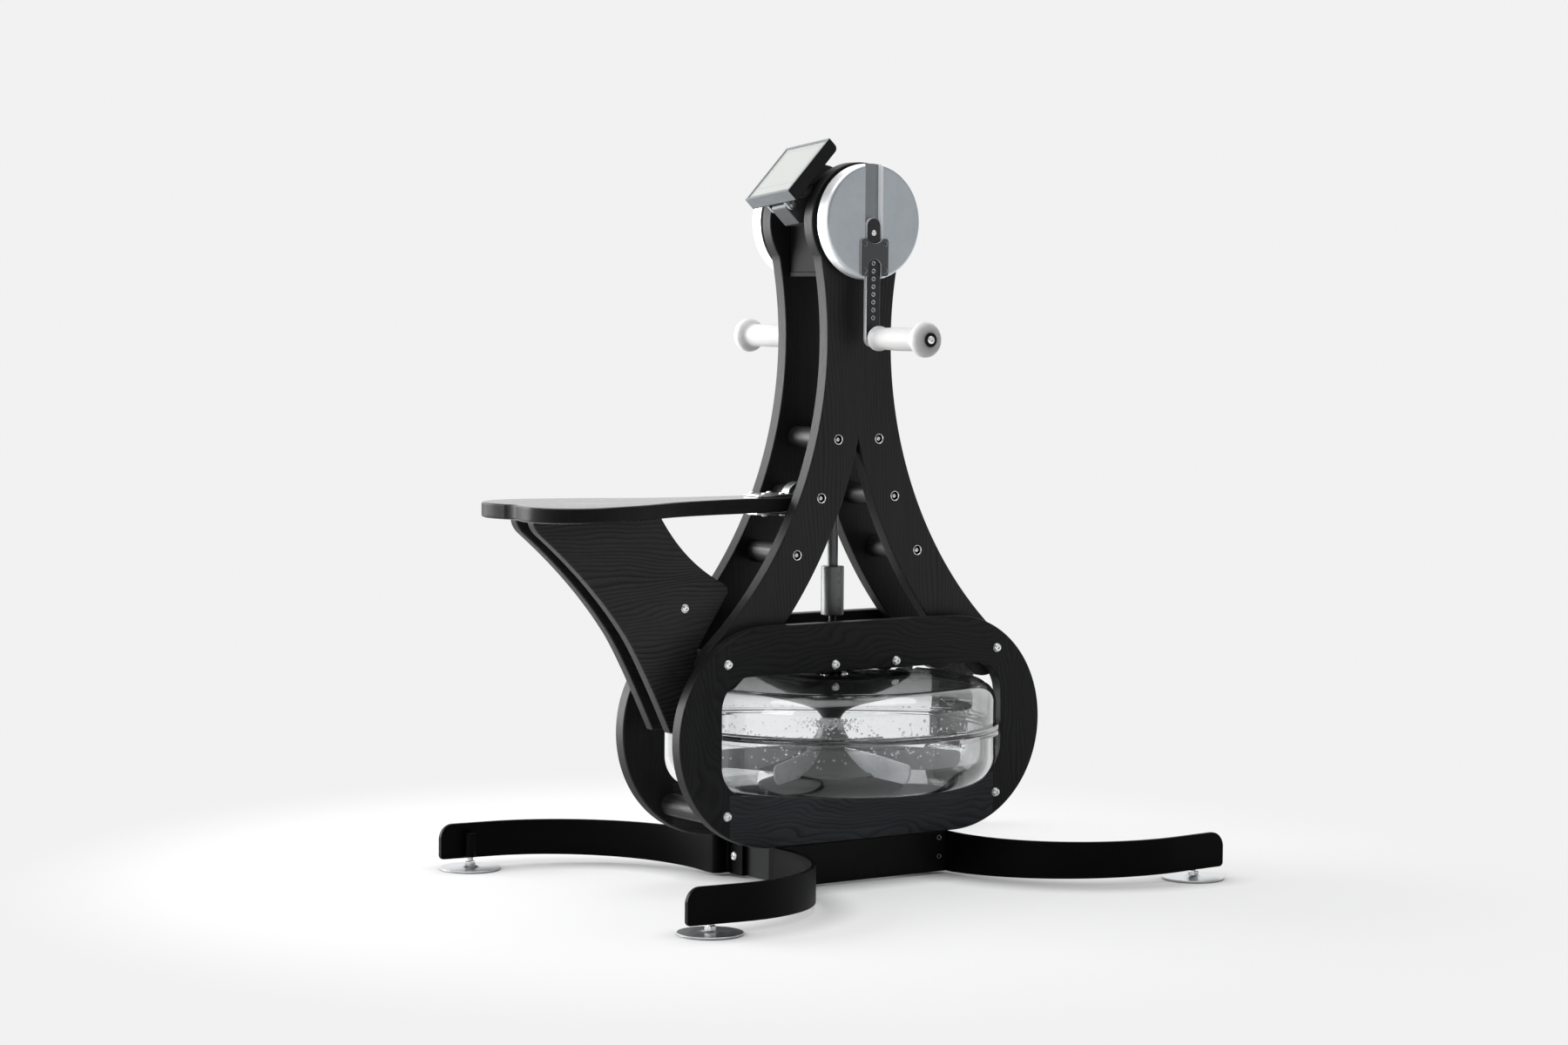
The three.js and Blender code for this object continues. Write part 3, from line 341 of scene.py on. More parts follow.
# sunk paints shade into the disc's groove
DISC_STEEL = metal("disc_metal", (0.46, 0.50, 0.53), 0.44, grit=1.0, metallic=0.72,
                   sides=(0.97, 0.98, 1.0), sunk=0.0985)
BRIGHT_STEEL = metal("bright_metal", (0.86, 0.87, 0.88), 0.26, metallic=0.85)
FOOT_STEEL = metal("foot_steel", (0.50, 0.51, 0.52), 0.30, (900.0, 900.0, 120.0))
HOOK_STEEL = metal("hook_steel", (0.42, 0.43, 0.44), 0.34, (60.0, 900.0, 900.0))
CLEAR_UPPER = clear("tank_clear_upper", (0.97, 0.98, 0.985), thick=2.0)
CLEAR_LOWER = clear("tank_clear_lower", (0.95, 0.965, 0.97), thick=1.9)
DROPLET = clear("droplet_clear", (0.97, 0.98, 0.985), roughness=0.0, ior=1.33, smear=0.0)
RUBBER = plastic("rubber_black", (0.012, 0.012, 0.012), 0.75, specular=0.3)
GREY_PLASTIC = plastic("dark_plastic", (0.010, 0.0105, 0.011), 0.42)
BLADE_PLASTIC = plastic("blade_plastic", (0.25, 0.255, 0.26), 0.3, grain=900.0, spread=0.25)
GRIP_WHITE = plastic("grip_white", (0.50, 0.50, 0.497), 0.6, grain=700.0, depth=0.00006,
                     spread=0.03, specular=0.3, soft=0.03)
SCREEN = plastic("screen_cover", (0.35, 0.362, 0.35), 0.3, grain=500.0, depth=0.00001, specular=0.25,
                 spread=0.02)
SCREEN_LINE = plastic("screen_line", (0.25, 0.26, 0.26), 0.35, specular=0.25, spread=0.03)
MONITOR_TRIM = plastic("monitor_trim", (0.30, 0.31, 0.31), 0.35, specular=0.25, spread=0.03)

# ---- mesh helpers: millimetres, with the drive shaft on the Z axis ----


def add_object(name, data):
    made = bpy.data.objects.new(name, data)
    bpy.context.scene.collection.objects.link(made)
    return made


def shade_by_weight(piece, keep_sharp):
    shading = piece.modifiers.new("shading", "WEIGHTED_NORMAL")
    shading.keep_sharp = keep_sharp
    shading.weight = 80


def make(name, bm, look, body, nodes=(), crease=34.0, weighted=True, place=None):
    """Turns a bmesh in millimetres into a piece that rides on a body."""
    bmesh.ops.recalc_face_normals(bm, faces=bm.faces[:])
    limit = math.radians(crease)
    for edge in bm.edges:
        edge.smooth = len(edge.link_faces) == 2 and edge.calc_face_angle(0.0) < limit
    for face in bm.faces:
        face.smooth = True
    mesh = bpy.data.meshes.new(name)
    bm.to_mesh(mesh)
    bm.free()
    if place is not None:
        mesh.transform(place)
    mesh.transform(Matrix.Translation((SHAFT_X, 0, 0)) @ Matrix.Scale(0.001, 4))
    mesh.materials.append(look)
    piece = add_object(name, mesh)
    if weighted:
        shade_by_weight(piece, True)
    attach(piece, body)
    if nodes:
        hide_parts(*nodes)


def ring_faces(bm, first, second):
    count = len(first)
    for i in range(count):
        j = (i + 1) % count
        bm.faces.new((first[i], first[j], second[j], second[i]))


def polar(radius, angle, height):
    return Vector((radius * math.cos(angle), radius * math.sin(angle), height))


def lathe(bm, profile, matrix=None, segments=72):
    """Turns a profile of (radius, height) about Z; a radius of 0 makes a pole."""
    matrix = matrix or Matrix.Identity(4)
    rings = []
    for radius, height in profile:
        count = 1 if radius == 0 else segments
        rings.append([bm.verts.new(matrix @ polar(radius, TURN * i / segments, height)) for i in range(count)])
    for first, second in zip(rings, rings[1:]):
        if len(first) == len(second) == segments:
            ring_faces(bm, first, second)
        elif len(second) == segments:
            for i in range(segments):
                bm.faces.new((first[0], second[i], second[(i + 1) % segments]))
        elif len(first) == segments:
            for i in range(segments):
                bm.faces.new((first[i], first[(i + 1) % segments], second[0]))
    return rings


def turned(name, profile, look, body, nodes=(), matrix=None, segments=72, **more):
    """A piece that is one turned profile."""
    bm = bmesh.new()
    lathe(bm, profile, matrix, segments)
    make(name, bm, look, body, nodes, **more)


def sawn(name, outline, low, high, look, body, nodes=(), place=None, **shape):
    """A piece that is one board."""
    bm = bmesh.new()
    board(bm, outline, low, high, **shape)
    make(name, bm, look, body, nodes, place=place)


def rod(radius, low, high):
    return [(0, low), (radius, low), (radius, high), (0, high)]


def at(x, y, z, side=None):
    """Places a Z-up form at a point; with side, its Z points outwards along Y on that side."""
    shift = Matrix.Translation((x, y, z))
    if side is None:
        return shift
    return shift @ Matrix.Rotation(-side * QUARTER, 4, "X")


def raised(matrix, height):
    return matrix @ Matrix.Translation((0, 0, height))


def arc(x, y, radius, start, end, steps):
    return [(x + radius * math.cos(start + (end - start) * i / steps),
             y + radius * math.sin(start + (end - start) * i / steps)) for i in range(steps + 1)]


def rounded(x0, x1, y0, y1, radius, steps=10):
    """A rectangle with round corners, from its lower right corner on."""
    left, right, low, high = x0 + radius, x1 - radius, y0 + radius, y1 - radius
    result = []
    for quarter, (x, y) in enumerate(((right, low), (right, high), (left, high), (left, low)), -1):
        result += arc(x, y, radius, quarter * QUARTER, (quarter + 1) * QUARTER, steps)
    return result


def circle(x, y, radius, steps=40):
    return arc(x, y, radius, 0, TURN, steps)[:-1]


def smooth_profile(points, steps=5):
    """A smooth curve through profile points, each ending kept."""
    result = []
    for i in range(len(points) - 1):
        p0 = Vector(points[max(i - 1, 0)])
        p1, p2 = Vector(points[i]), Vector(points[i + 1])
        p3 = Vector(points[min(i + 2, len(points) - 1)])
        for s in range(steps):
            t = s / steps
            q = 0.5 * ((2 * p1) + (p2 - p0) * t + (2 * p0 - 5 * p1 + 4 * p2 - p3) * t * t
                       + (3 * p1 - p0 - 3 * p2 + p3) * t ** 3)
            result.append((q.x, q.y))
    result.append(tuple(points[-1]))
    return result


def tidy_loop(points, anticlockwise):
    clean = [p for i, p in enumerate(points) if math.dist(p, points[i - 1]) > 1e-4]
    area = sum(a[0] * b[1] - b[0] * a[1] for a, b in zip(clean, clean[1:] + clean[:1]))
    if (area > 0) != anticlockwise:
        clean.reverse()
    return clean


def inset(points, distance):
    """Moves a closed loop to its left by a distance, with mitred corners."""
    if distance == 0:
        return points
    moved = []
    for i, (x, y) in enumerate(points):
        ax, ay = points[i - 1]
        bx, by = points[(i + 1) % len(points)]
        first = Vector((x - ax, y - ay)).normalized()
        second = Vector((bx - x, by - y)).normalized()
        normal = Vector((-first.y - second.y, first.x + second.x)).normalized()
        stretch = max(normal.dot(Vector((-first.y, first.x))), 0.35)
        moved.append((x + normal.x * distance / stretch, y + normal.y * distance / stretch))
    return moved


def board(bm, outline, low, high, holes=(), edge=2.0, hole_edge=None, steps=4, upright=True):
    """A board with rounded edges.  upright: the outline is in X and Z and the thickness along Y."""
    hole_edge = edge if hole_edge is None else hole_edge
    loops = [(tidy_loop(outline, True), edge)] + [(tidy_loop(h, False), hole_edge) for h in holes]

    def point(p, depth):
        return Vector((p[0], depth, p[1])) if upright else Vector((p[0], p[1], depth))

    caps = ([], [])
    for loop, radius in loops:
        radius = min(radius, (high - low) / 2 - 0.01)
        bend = [QUARTER * i / steps for i in range(steps + 1)]
        levels = ([(radius * (1 - math.cos(a)), low + radius * (1 - math.sin(a))) for a in reversed(bend)]
                  + [(radius * (1 - math.cos(a)), high - radius * (1 - math.sin(a))) for a in bend])
        if radius == 0:
            levels = [(0, low), (0, high)]
        rings = [[bm.verts.new(point(p, depth)) for p in inset(loop, away)] for away, depth in levels]
        for first, second in zip(rings, rings[1:]):
            ring_faces(bm, first, second)
        for cap, ring in ((caps[0], rings[0]), (caps[1], rings[-1])):
            cap.extend(bm.edges.get((ring[i], ring[(i + 1) % len(ring)])) for i in range(len(ring)))
    for cap in caps:
        bmesh.ops.triangle_fill(bm, use_beauty=True, edges=cap)


def block(bm, *limits, edge=0.0):
    """A block between the pairs of limits along X, Y and Z, with bevelled edges."""
    verts = bmesh.ops.create_cube(bm, size=1.0)["verts"]
    size = Matrix.Diagonal([high - low for low, high in limits] + [1])
    middle = Matrix.Translation([(low + high) / 2 for low, high in limits])
    bmesh.ops.transform(bm, matrix=middle @ size, verts=verts)
    if edge:
        edges = list({e for v in verts for e in v.link_edges})
        bmesh.ops.bevel(bm, geom=edges + verts, offset=edge, segments=3, profile=0.5, affect="EDGES")


def hexagon(radius, segments):
    """Points of a hexagon's rim, as many as a ring has, so the two can be joined."""
    points = []
    for i in range(segments):
        angle = TURN * i / segments
        within = (angle % (math.pi / 3)) - math.pi / 6
        reach = radius * math.cos(math.pi / 6) / math.cos(within)
        points.append((reach * math.cos(angle), reach * math.sin(angle)))
    return points


def button_head(bm, matrix, radius, height, socket=None, depth=None):
    """A domed bolt head with a hexagon socket, its base at the matrix's origin."""
    segments = 36
    socket = socket or radius * 0.48
    depth = depth or height * 0.6
    profile = [(0, 0), (radius * 0.96, 0), (radius, height * 0.08), (radius, height * 0.22)]
    profile += [(radius * (0.62 + 0.38 * math.cos(QUARTER * i / 6)),
                 height * (0.22 + 0.78 * math.sin(QUARTER * i / 6))) for i in range(1, 7)]
    rings = lathe(bm, profile, matrix, segments)
    previous = rings[-1]
    for scale, level in ((1.0, height * 0.99), (0.97, height - depth)):
        ring = [bm.verts.new(matrix @ Vector((px * scale, py * scale, level)))
                for px, py in hexagon(socket, segments)]
        ring_faces(bm, previous, ring)
        previous = ring
    centre = bm.verts.new(matrix @ Vector((0, 0, height - depth * 1.15)))
    for i in range(segments):
        bm.faces.new((previous[i], previous[(i + 1) % segments], centre))


def washer(bm, matrix, radius, bore, thick):
    lathe(bm, [(bore, 0), (radius - 0.3, 0), (radius, 0.3), (radius, thick - 0.3), (radius - 0.3, thick),
               (bore, thick), (bore, 0)], matrix, 36)


def working_mesh(bm):
    mesh = bpy.data.meshes.new("working")
    bm.to_mesh(mesh)
    bm.free()
    return mesh


def cut_by(bm, cutter):
    """Returns the bmesh with another taken away from it, both closed."""
    for source in (bm, cutter):
        bmesh.ops.recalc_face_normals(source, faces=source.faces[:])
    objects = [add_object("working", working_mesh(source)) for source in (bm, cutter)]
    cut = objects[0].modifiers.new("cut", "BOOLEAN")
    cut.solver = "EXACT"
    cut.object = objects[1]
    graph = bpy.context.evaluated_depsgraph_get()
    mesh = bpy.data.meshes.new_from_object(objects[0].evaluated_get(graph))
    result = bmesh.new()
    result.from_mesh(mesh)
    for old in (objects[0].data, objects[1].data, mesh):
        bpy.data.meshes.remove(old)
    return result


def cut_by_rod(bm, radius, low, high, matrix=None):
    cutter = bmesh.new()
    lathe(cutter, rod(radius, low, high), matrix, 48)
    return cut_by(bm, cutter)


# ---- dimensions, as in the frame ----
GAP = 0.3                             # between pieces that touch
BOARD, PLATE_OUT = 24.0, 94.5
PLATE_IN = PLATE_OUT - BOARD
TOWER_OUT, TOWER_IN = PLATE_IN - GAP, PLATE_IN - GAP - BOARD
PLATE_Z, PLATE_HALF, PLATE_RISE = 246.8, 356.8, 176.8
CRANK_Z, HEAD_R = 1063.5, 95.4
SWEEP_X, SWEEP_Z, SWEEP_OUTER, SWEEP_INNER = 702.0, 874.5, 639.0, 719.5
LEG_FOOT = math.radians(229.4)
BOLTS_TOWER = ((40.3, 715.2), (72.8, 621.8), (119.4, 532.0))
WORDS = ("upper", "middle", "lower")
CORNER, MIDDLE = (267.1, 120.1), (60.3, 109.4)
BAR_R = 18.0
HANDLE_Z = CRANK_Z - 186.0


def span(side, inner, outer):
    return (inner, outer) if side > 0 else (-outer, -inner)


# ---- tower ----


def tower_outline():
    apart = math.hypot(SWEEP_X, SWEEP_Z - CRANK_Z)
    along = (apart ** 2 + HEAD_R ** 2 - SWEEP_OUTER ** 2) / (2 * apart)
    off = math.sqrt(HEAD_R ** 2 - along ** 2)
    dx, dz = SWEEP_X / apart, (SWEEP_Z - CRANK_Z) / apart
    meet = (along * dx + off * dz, CRANK_Z + along * dz - off * dx)
    head = math.atan2(meet[1] - CRANK_Z, meet[0])
    outer_top = math.pi + math.atan2(SWEEP_Z - meet[1], SWEEP_X - meet[0])
    crotch = math.pi + math.acos(SWEEP_X / SWEEP_INNER)
    middle = (SWEEP_OUTER + SWEEP_INNER) / 2
    cap = (SWEEP_INNER - SWEEP_OUTER) / 2
    cap_x = SWEEP_X + middle * math.cos(LEG_FOOT)
    cap_z = SWEEP_Z + middle * math.sin(LEG_FOOT)
    right = (arc(SWEEP_X, SWEEP_Z, SWEEP_INNER, crotch, LEG_FOOT, 48)
             + arc(cap_x, cap_z, cap, LEG_FOOT, LEG_FOOT + math.pi, 24)[1:-1]
             + arc(SWEEP_X, SWEEP_Z, SWEEP_OUTER, LEG_FOOT, outer_top, 64)
             + arc(0, CRANK_Z, HEAD_R, head, QUARTER, 40)[1:])
    left = [(-x, z) for x, z in reversed(right[1:-1])]
    return right + left


holes = [circle(end * x, z, 8.2) for _, end in ENDS for x, z in BOLTS_TOWER] + [circle(0, CRANK_Z, 24.0, 64)]
for word, side in SIDES:
    sawn(f"tower_panel_{word}_ash", tower_outline(), *span(side, TOWER_IN, TOWER_OUT),
         WOOD_TOWER_NEAR if side < 0 else WOOD_TOWER_FAR, "frame", [f"tower_panel_{word}"], holes=holes, edge=2.2,
         hole_edge=0.6)


def dowel(node, x, z, half):
    quarter = [(BAR_R, half - 1.2), (BAR_R - 0.4, half - 0.4), (BAR_R - 1.2, half), (0, half)]
    turned(f"{node}_dowel", [(radius, -height) for radius, height in reversed(quarter)] + quarter, WOOD_DOWEL,
           "frame", [node], at(x, 0, z, 1), 64)


for end_word, end in ENDS:
    for (x, z), word in zip(BOLTS_TOWER, WORDS):
        node = f"tower_crossbar_{end_word}_{word}"
        dowel(node, end * x, z, TOWER_IN - GAP)
        bm = bmesh.new()
        cups = bmesh.new()
        for _, side in SIDES:
            # a bright ring lines the hole, and the bolt head sits in the dark cup behind it
            face = at(end * x, side * TOWER_OUT, z, side)
            lathe(bm, [(6.7, -0.9), (8.1, -0.9), (8.3, 0.0), (8.0, 0.6), (7.5, 0.8), (7.0, 0.5), (6.7, -0.1),
                       (6.7, -0.9)], face, 56)
            button_head(bm, raised(face, -4.6), 3.7, 3.3)
            lathe(cups, [(0, -7.4), (8.0, -7.4), (8.0, -0.95), (6.9, -0.95), (6.6, -1.4), (6.4, -4.4), (0, -4.6)],
                  face, 56)
        make(f"{node}_bolt", bm, BRIGHT_STEEL, "frame")
        make(f"{node}_cups", cups, BLACK_BLOCK, "frame")
    for word, dx, dz, half in (("upper", CORNER[0], CORNER[1], TOWER_IN - GAP),
                               ("lower", CORNER[0], -CORNER[1], PLATE_IN - GAP),
                               ("middle", MIDDLE[0], MIDDLE[1], PLATE_IN - GAP)):
        node = f"plate_spacer_{end_word}_{word}"
        dowel(node, end * dx, PLATE_Z + dz, half)
        bm = bmesh.new()
        for _, side in SIDES:
            face = at(end * dx, side * (PLATE_OUT + 0.05), PLATE_Z + dz, side)
            washer(bm, face, 7.3, 3.8, 1.1)
            button_head(bm, raised(face, 1.1), 6.6, 3.8)
        make(f"{node}_bolt", bm, BRIGHT_STEEL, "frame")

# ---- tank plates ----
outline = rounded(-PLATE_HALF, PLATE_HALF, PLATE_Z - PLATE_RISE, PLATE_Z + PLATE_RISE, PLATE_RISE - 0.5, 56)
window = rounded(-277, 277, 155, 345, 52, 24)
for word, side in SIDES:
    sawn(f"tank_plate_{word}_ash", outline, *span(side, PLATE_IN, PLATE_OUT),
         WOOD_PLATE_NEAR if side < 0 else WOOD_PLATE_FAR, "frame", [f"tank_plate_{word}"], holes=[window],
         edge=2.6, hole_edge=2.2)

# ---- water tank ----
TANK_R, FLANGE_R, FLANGE_Z = 268.0, 275.6, 246.7
TANK_TOP, TANK_LOW, NECK_TOP = 334.0, 155.3, 341.0
SHOULDER_Z, PLUG_X = 288.0, 150.0

bm = bmesh.new()
low = FLANGE_Z + 0.15
outer = ([(258, low), (FLANGE_R - 0.8, low), (FLANGE_R, low + 0.8), (FLANGE_R, low + 7.2),
          (FLANGE_R - 0.8, low + 8.2), (TANK_R + 1.2, low + 8.2), (TANK_R, low + 9.4)]
         + arc(TANK_R - 34, SHOULDER_Z, 34, 0, QUARTER, 18)
         + [(160, TANK_TOP - 0.6), (56, TANK_TOP), (30, TANK_TOP + 0.4), (26, TANK_TOP + 1.6),
            (26, NECK_TOP - 0.6), (25.4, NECK_TOP), (12.4, NECK_TOP), (12, NECK_TOP - 0.4)])
inner = ([(12, TANK_TOP - 4), (56, TANK_TOP - 4), (160, TANK_TOP - 4.4)]
         + arc(TANK_R - 34, SHOULDER_Z, 30, QUARTER, 0, 18)
         + [(TANK_R - 4, low + 5), (260, low + 3), (258, low)])
lathe(bm, outer + inner, segments=144)
bm = cut_by_rod(bm, 12.3, TANK_TOP - 20, TANK_TOP + 20, at(PLUG_X, 0, 0))
make("tank_upper_clear", bm, CLEAR_UPPER, "frame", ["tank_upper_shell"], crease=40)

high = FLANGE_Z - 0.15
outer = ([(0, TANK_LOW), (150, TANK_LOW), (205, TANK_LOW + 0.2)]
         + arc(TANK_R - 46, TANK_LOW + 46, 46, -math.pi * 0.4, 0, 20)
         + [(TANK_R, high - 9.4), (TANK_R + 1.2, high - 8.2), (FLANGE_R - 0.8, high - 8.2),
            (FLANGE_R, high - 7.4), (FLANGE_R, high - 0.8), (FLANGE_R - 0.8, high)])
inner = ([(264, high), (263.7, high - 2.9), (260.3, high - 2.9), (260, high), (257, high), (257, TANK_LOW + 46)]
         + arc(215, TANK_LOW + 46, 42, 0, -math.pi * 0.4, 20)
         + [(205, TANK_LOW + 4.2), (150, TANK_LOW + 4), (0, TANK_LOW + 4)])
turned("tank_lower_clear", outer + inner, CLEAR_LOWER, "frame", ["tank_lower_shell"], segments=144, crease=40)

bm = bmesh.new()
lathe(bm, [(262 + 1.5 * math.cos(TURN * i / 12), FLANGE_Z - 1.5 + 1.25 * math.sin(TURN * i / 12))
           for i in range(13)], segments=144)
bmesh.ops.remove_doubles(bm, verts=bm.verts[:], dist=0.001)
make("tank_seal_ring", bm, RUBBER, "frame", ["tank_seal"])

trumpet = smooth_profile([(14.4, 257.0), (16.4, 258.4), (18.6, 263.5), (23.5, 270.5), (32.0, 277.5),
                          (45.0, 284.5), (62.0, 292.0), (82.0, 300.5), (104.0, 311.0), (122.0, 321.5),
                          (129.0, 327.4)], 3)
turned("tank_cone_black", [(6.6, 257.0), *trumpet, (128.6, 329.0), (54, 329.5), (6.6, 329.5), (6.6, 257.0)],
       GREY_PLASTIC, "frame", ["tank_bearing_cone"], segments=96)
turned("fill_plug_rubber", [(0, 328.3), (11.2, 328.3), (12, 329.1), (12, 335.2), (15.2, 335.2), (16, 336),
                            (16, 339.4), (14.6, 341), (9, 341), (8, 340), (0, 340)],
       RUBBER, "plug", ["tank_fill_plug"], at(PLUG_X, 0, 0), 48)

# ---- paddle, shaft and coupling ----
trumpet = smooth_profile([(118.0, 174.6), (100.0, 179.5), (80.0, 187.0), (62.0, 196.0), (46.0, 206.5),
                          (33.0, 219.0), (24.5, 232.0), (19.4, 244.0), (17.0, 252.0), (16.2, 255.6)], 3)
turned("paddle_hub", [(0, 170.5), (117, 170.5), (119, 171.3), (119, 173.0), *trumpet, (15.0, 256.5), (6, 256.5),
                      (6, 300), (6, 425), (6, 456), (0, 456)], GREY_PLASTIC, "drive", ["paddle"], segments=96)

bm = bmesh.new()
for i in range(6):
    outline = ([(20, 172), (192, 172)] + arc(194, 192, 20, -QUARTER, 0, 8)
               + [(214, 199), (211, 203), (206, 204), (120, 211), (60, 214), (40, 214), (20, 214)])
    blade = bmesh.new()
    board(blade, outline, -1.5, 1.5, edge=1.2, steps=3)
    bmesh.ops.transform(blade, matrix=Matrix.Rotation(TURN * (i + 0.5) / 6, 4, "Z"), verts=blade.verts[:])
    holder = working_mesh(blade)
    bm.from_mesh(holder)
    bpy.data.meshes.remove(holder)
make("paddle_blades", bm, BLADE_PLASTIC, "drive")

bm = bmesh.new()
lathe(bm, [(6.4, 426), (17.2, 426), (18.4, 426.5), (18.7, 427.6), (18.7, 504.4), (18.4, 505.5), (17.2, 506),
           (9.4, 506), (9.1, 505.4), (9.1, 485), (6.4, 485), (6.4, 426)], segments=72)
for height in (438.0, 452.0, 480.0, 494.0):
    # grub screws
    for turn in (0.0, QUARTER):
        spot = Matrix.Rotation(turn, 4, "Z") @ at(0, -18.55, height, -1)
        button_head(bm, spot, 2.6, 0.5, 1.3, 0.45)
make("shaft_coupling_turned", bm, COUPLING_STEEL, "drive", ["shaft_coupling"])

# ---- base ----
BASE_LOW, BASE_HIGH = 4.0, PLATE_Z - PLATE_RISE - GAP
FOOT_X, FOOT_Y = 472.5, 356.0
for word, side in SIDES:
    bm = bmesh.new()
    block(bm, (-165, 165), span(side, PLATE_OUT - 6.2, PLATE_OUT), (BASE_LOW, BASE_HIGH), edge=1.1)
    make(f"base_side_bar_{word}_steel", bm, BLACK_STEEL, "frame", [f"base_side_bar_{word}"])
    bm = bmesh.new()
    for _, end in ENDS:
        for height in (29.0, 60.0):
            face = at(end * 151.5, side * (PLATE_OUT + 0.02), height, side)
            lathe(bm, [(0, -2.6), (4.1, -2.6), (4.1, 0.15), (3.7, 0.35), (3.0, 0.1), (2.7, -1.2), (0, -1.4)],
                  face, 28)
    make(f"base_side_screws_{word}", bm, HOOK_STEEL, "frame")

for end_word, end in ENDS:
    bm = bmesh.new()
    across = PLATE_OUT - 6.2 - GAP
    block(bm, span(end, 134, 140), (-across, across), (BASE_LOW, BASE_HIGH - 4), edge=1.0)
    for _, side in SIDES:
        block(bm, span(end, 94, 140), span(side, PLATE_IN - 6.3, PLATE_IN - GAP), (48, 116), edge=1.0)
    make(f"base_cross_plate_{end_word}_steel", bm, PLATE_STEEL, "frame", [f"base_cross_plate_{end_word}"])


def leg_path():
    """Plan of the leg strip's middle as (point, left-hand normal) pairs, with small bends."""
    points = ([(144.3, 38), (144.3, 56), (144.3, 74)] + arc(152.3, 76, 8, math.pi, QUARTER, 8)
              + [(158, 84)] + arc(161.3, 92, 8, -QUARTER, 0, 8)[1:]
              + [(169.3, 101)] + arc(169.3 + 258, 110, 258, math.pi, QUARTER, 48)
              + [(450, 368), (475, 368), (497, 368)]
              + [(497 + 25.9 * math.sin(QUARTER * i / 14), 368) for i in range(1, 15)])
    result = []
    for i, point in enumerate(points):
        a = points[max(i - 1, 0)]
        b = points[min(i + 1, len(points) - 1)]
        along = Vector((b[0] - a[0], b[1] - a[1])).normalized()
        result.append((point, (-along.y, along.x)))
    return result


def leg_limits(x):
    """Lower and upper edge of the strip at a distance from the shaft."""
    along = max((x - 169.3) / 353.7, 0.0)
    low = BASE_LOW + 14.5 * along ** 0.45
    high = BASE_HIGH + 6.5 * along
    if x > 499:
        high -= 24.4 * (1 - math.sqrt(max(1 - ((x - 499) / 24) ** 2, 0)))
    if x > 517:
        low += 6.0 * (1 - math.sqrt(max(1 - ((x - 517) / 6) ** 2, 0)))
    return low, high


FOOT_DISC = [(0, 0.0), (48.6, 0.0), (49.2, 0.6), (48.4, 0.9), (48.4, 1.3), (49.6, 1.5), (50, 1.9), (50, 3.5),
             (49.6, 3.9), (48.9, 4.0), (22, 4.3), (14.6, 4.6), (11.5, 6.6), (10.6, 7.0), (0, 7.0)]
FOOT_NUT = [(0, 6.2), (8.3, 6.2), (9.4, 6.9), (9.4, 12.9), (8.3, 13.9), (5.6, 14.0), (0, 14.0)]


def foot_thread():
    thread = [(0, 12.5)]
    for i in range(19):
        z = 13.0 + 1.5 * i
        thread += [(4.95, z), (4.95, z + 0.25), (4.35, z + 0.75), (4.35, z + 0.95)]
    return thread + [(4.3, 41.6), (0, 42.0)]


for end_word, end in ENDS:
    for word, side in SIDES:
        spot = at(end * FOOT_X, side * FOOT_Y, 0)
        bm = bmesh.new()
        rings = []
        for (px, py), (nx, ny) in leg_path():
            low, high = leg_limits(px)
            section = rounded(-4, 4, low, high, 1.5, 4)
            rings.append([bm.verts.new((end * (px + t * nx), side * (py + t * ny), z)) for t, z in section])
        for first, second in zip(rings, rings[1:]):
            ring_faces(bm, first, second)
        bm.faces.new(rings[0])
        bm.faces.new(rings[-1])
        lathe(bm, [(5.4, 20.5), (8.4, 20.5), (9, 21.1), (9, 59.4), (8.4, 60), (0, 60)],
              spot, 40)
        make(f"leg_{end_word}_{word}_steel", bm, LEG_STEEL, "frame", [f"leg_{end_word}_{word}"], crease=40)
        bm = bmesh.new()
        face = Matrix.Translation((end * 148.45, side * 62.0, 34.0)) @ Matrix.Rotation(end * QUARTER, 4, "Y")
        lathe(bm, [(0, 0), (6.8, 0), (7.0, 0.4), (6.4, 0.9), (5.2, 0.5), (0, 0.5)], face, 40)
        button_head(bm, raised(face, 0.4), 4.9, 1.8)
        make(f"leg_tab_bolt_{end_word}_{word}", bm, BRIGHT_STEEL, "frame")

        foot = f"foot_{end_word}_{word}"
        turned(f"{foot}_disc", FOOT_DISC, FOOT_STEEL, foot, [foot], spot, 96)
        turned(f"{foot}_nut", FOOT_NUT, BRIGHT_STEEL, foot, (), spot, 6, crease=20)
        turned(f"{foot}_stud", foot_thread(), BRIGHT_STEEL, foot, (), spot, 32)

# ---- shaft block, shaft, gear, bushes, axle and bearings: CAD solids with softened edges; a new gear housing ----


def soften(node, look, width=0):
    """Keeps a CAD solid, with rounded edges of this width in millimetres and a better material."""
    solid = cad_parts[node]
    solid.data.materials.clear()
    solid.data.materials.append(look)
    weld = solid.modifiers.new("weld", "WELD")
    weld.merge_threshold = 0.00001
    if width:
        bevel = solid.modifiers.new("bevel", "BEVEL")
        bevel.width = width * 0.001
        bevel.segments = 3
        bevel.limit_method = "ANGLE"
        bevel.angle_limit = math.radians(32.0)
    shade_by_weight(solid, False)


soften("shaft_block", BLACK_BLOCK, 1.5)
for node in ("drive_shaft", "crank_bevel_gear"):
    soften(node, SHAFT_STEEL)
for node in ("shaft_lower_bush", "shaft_upper_bush", "crank_axle", "crank_bearing_near", "crank_bearing_far"):
    soften(node, BRIGHT_STEEL)

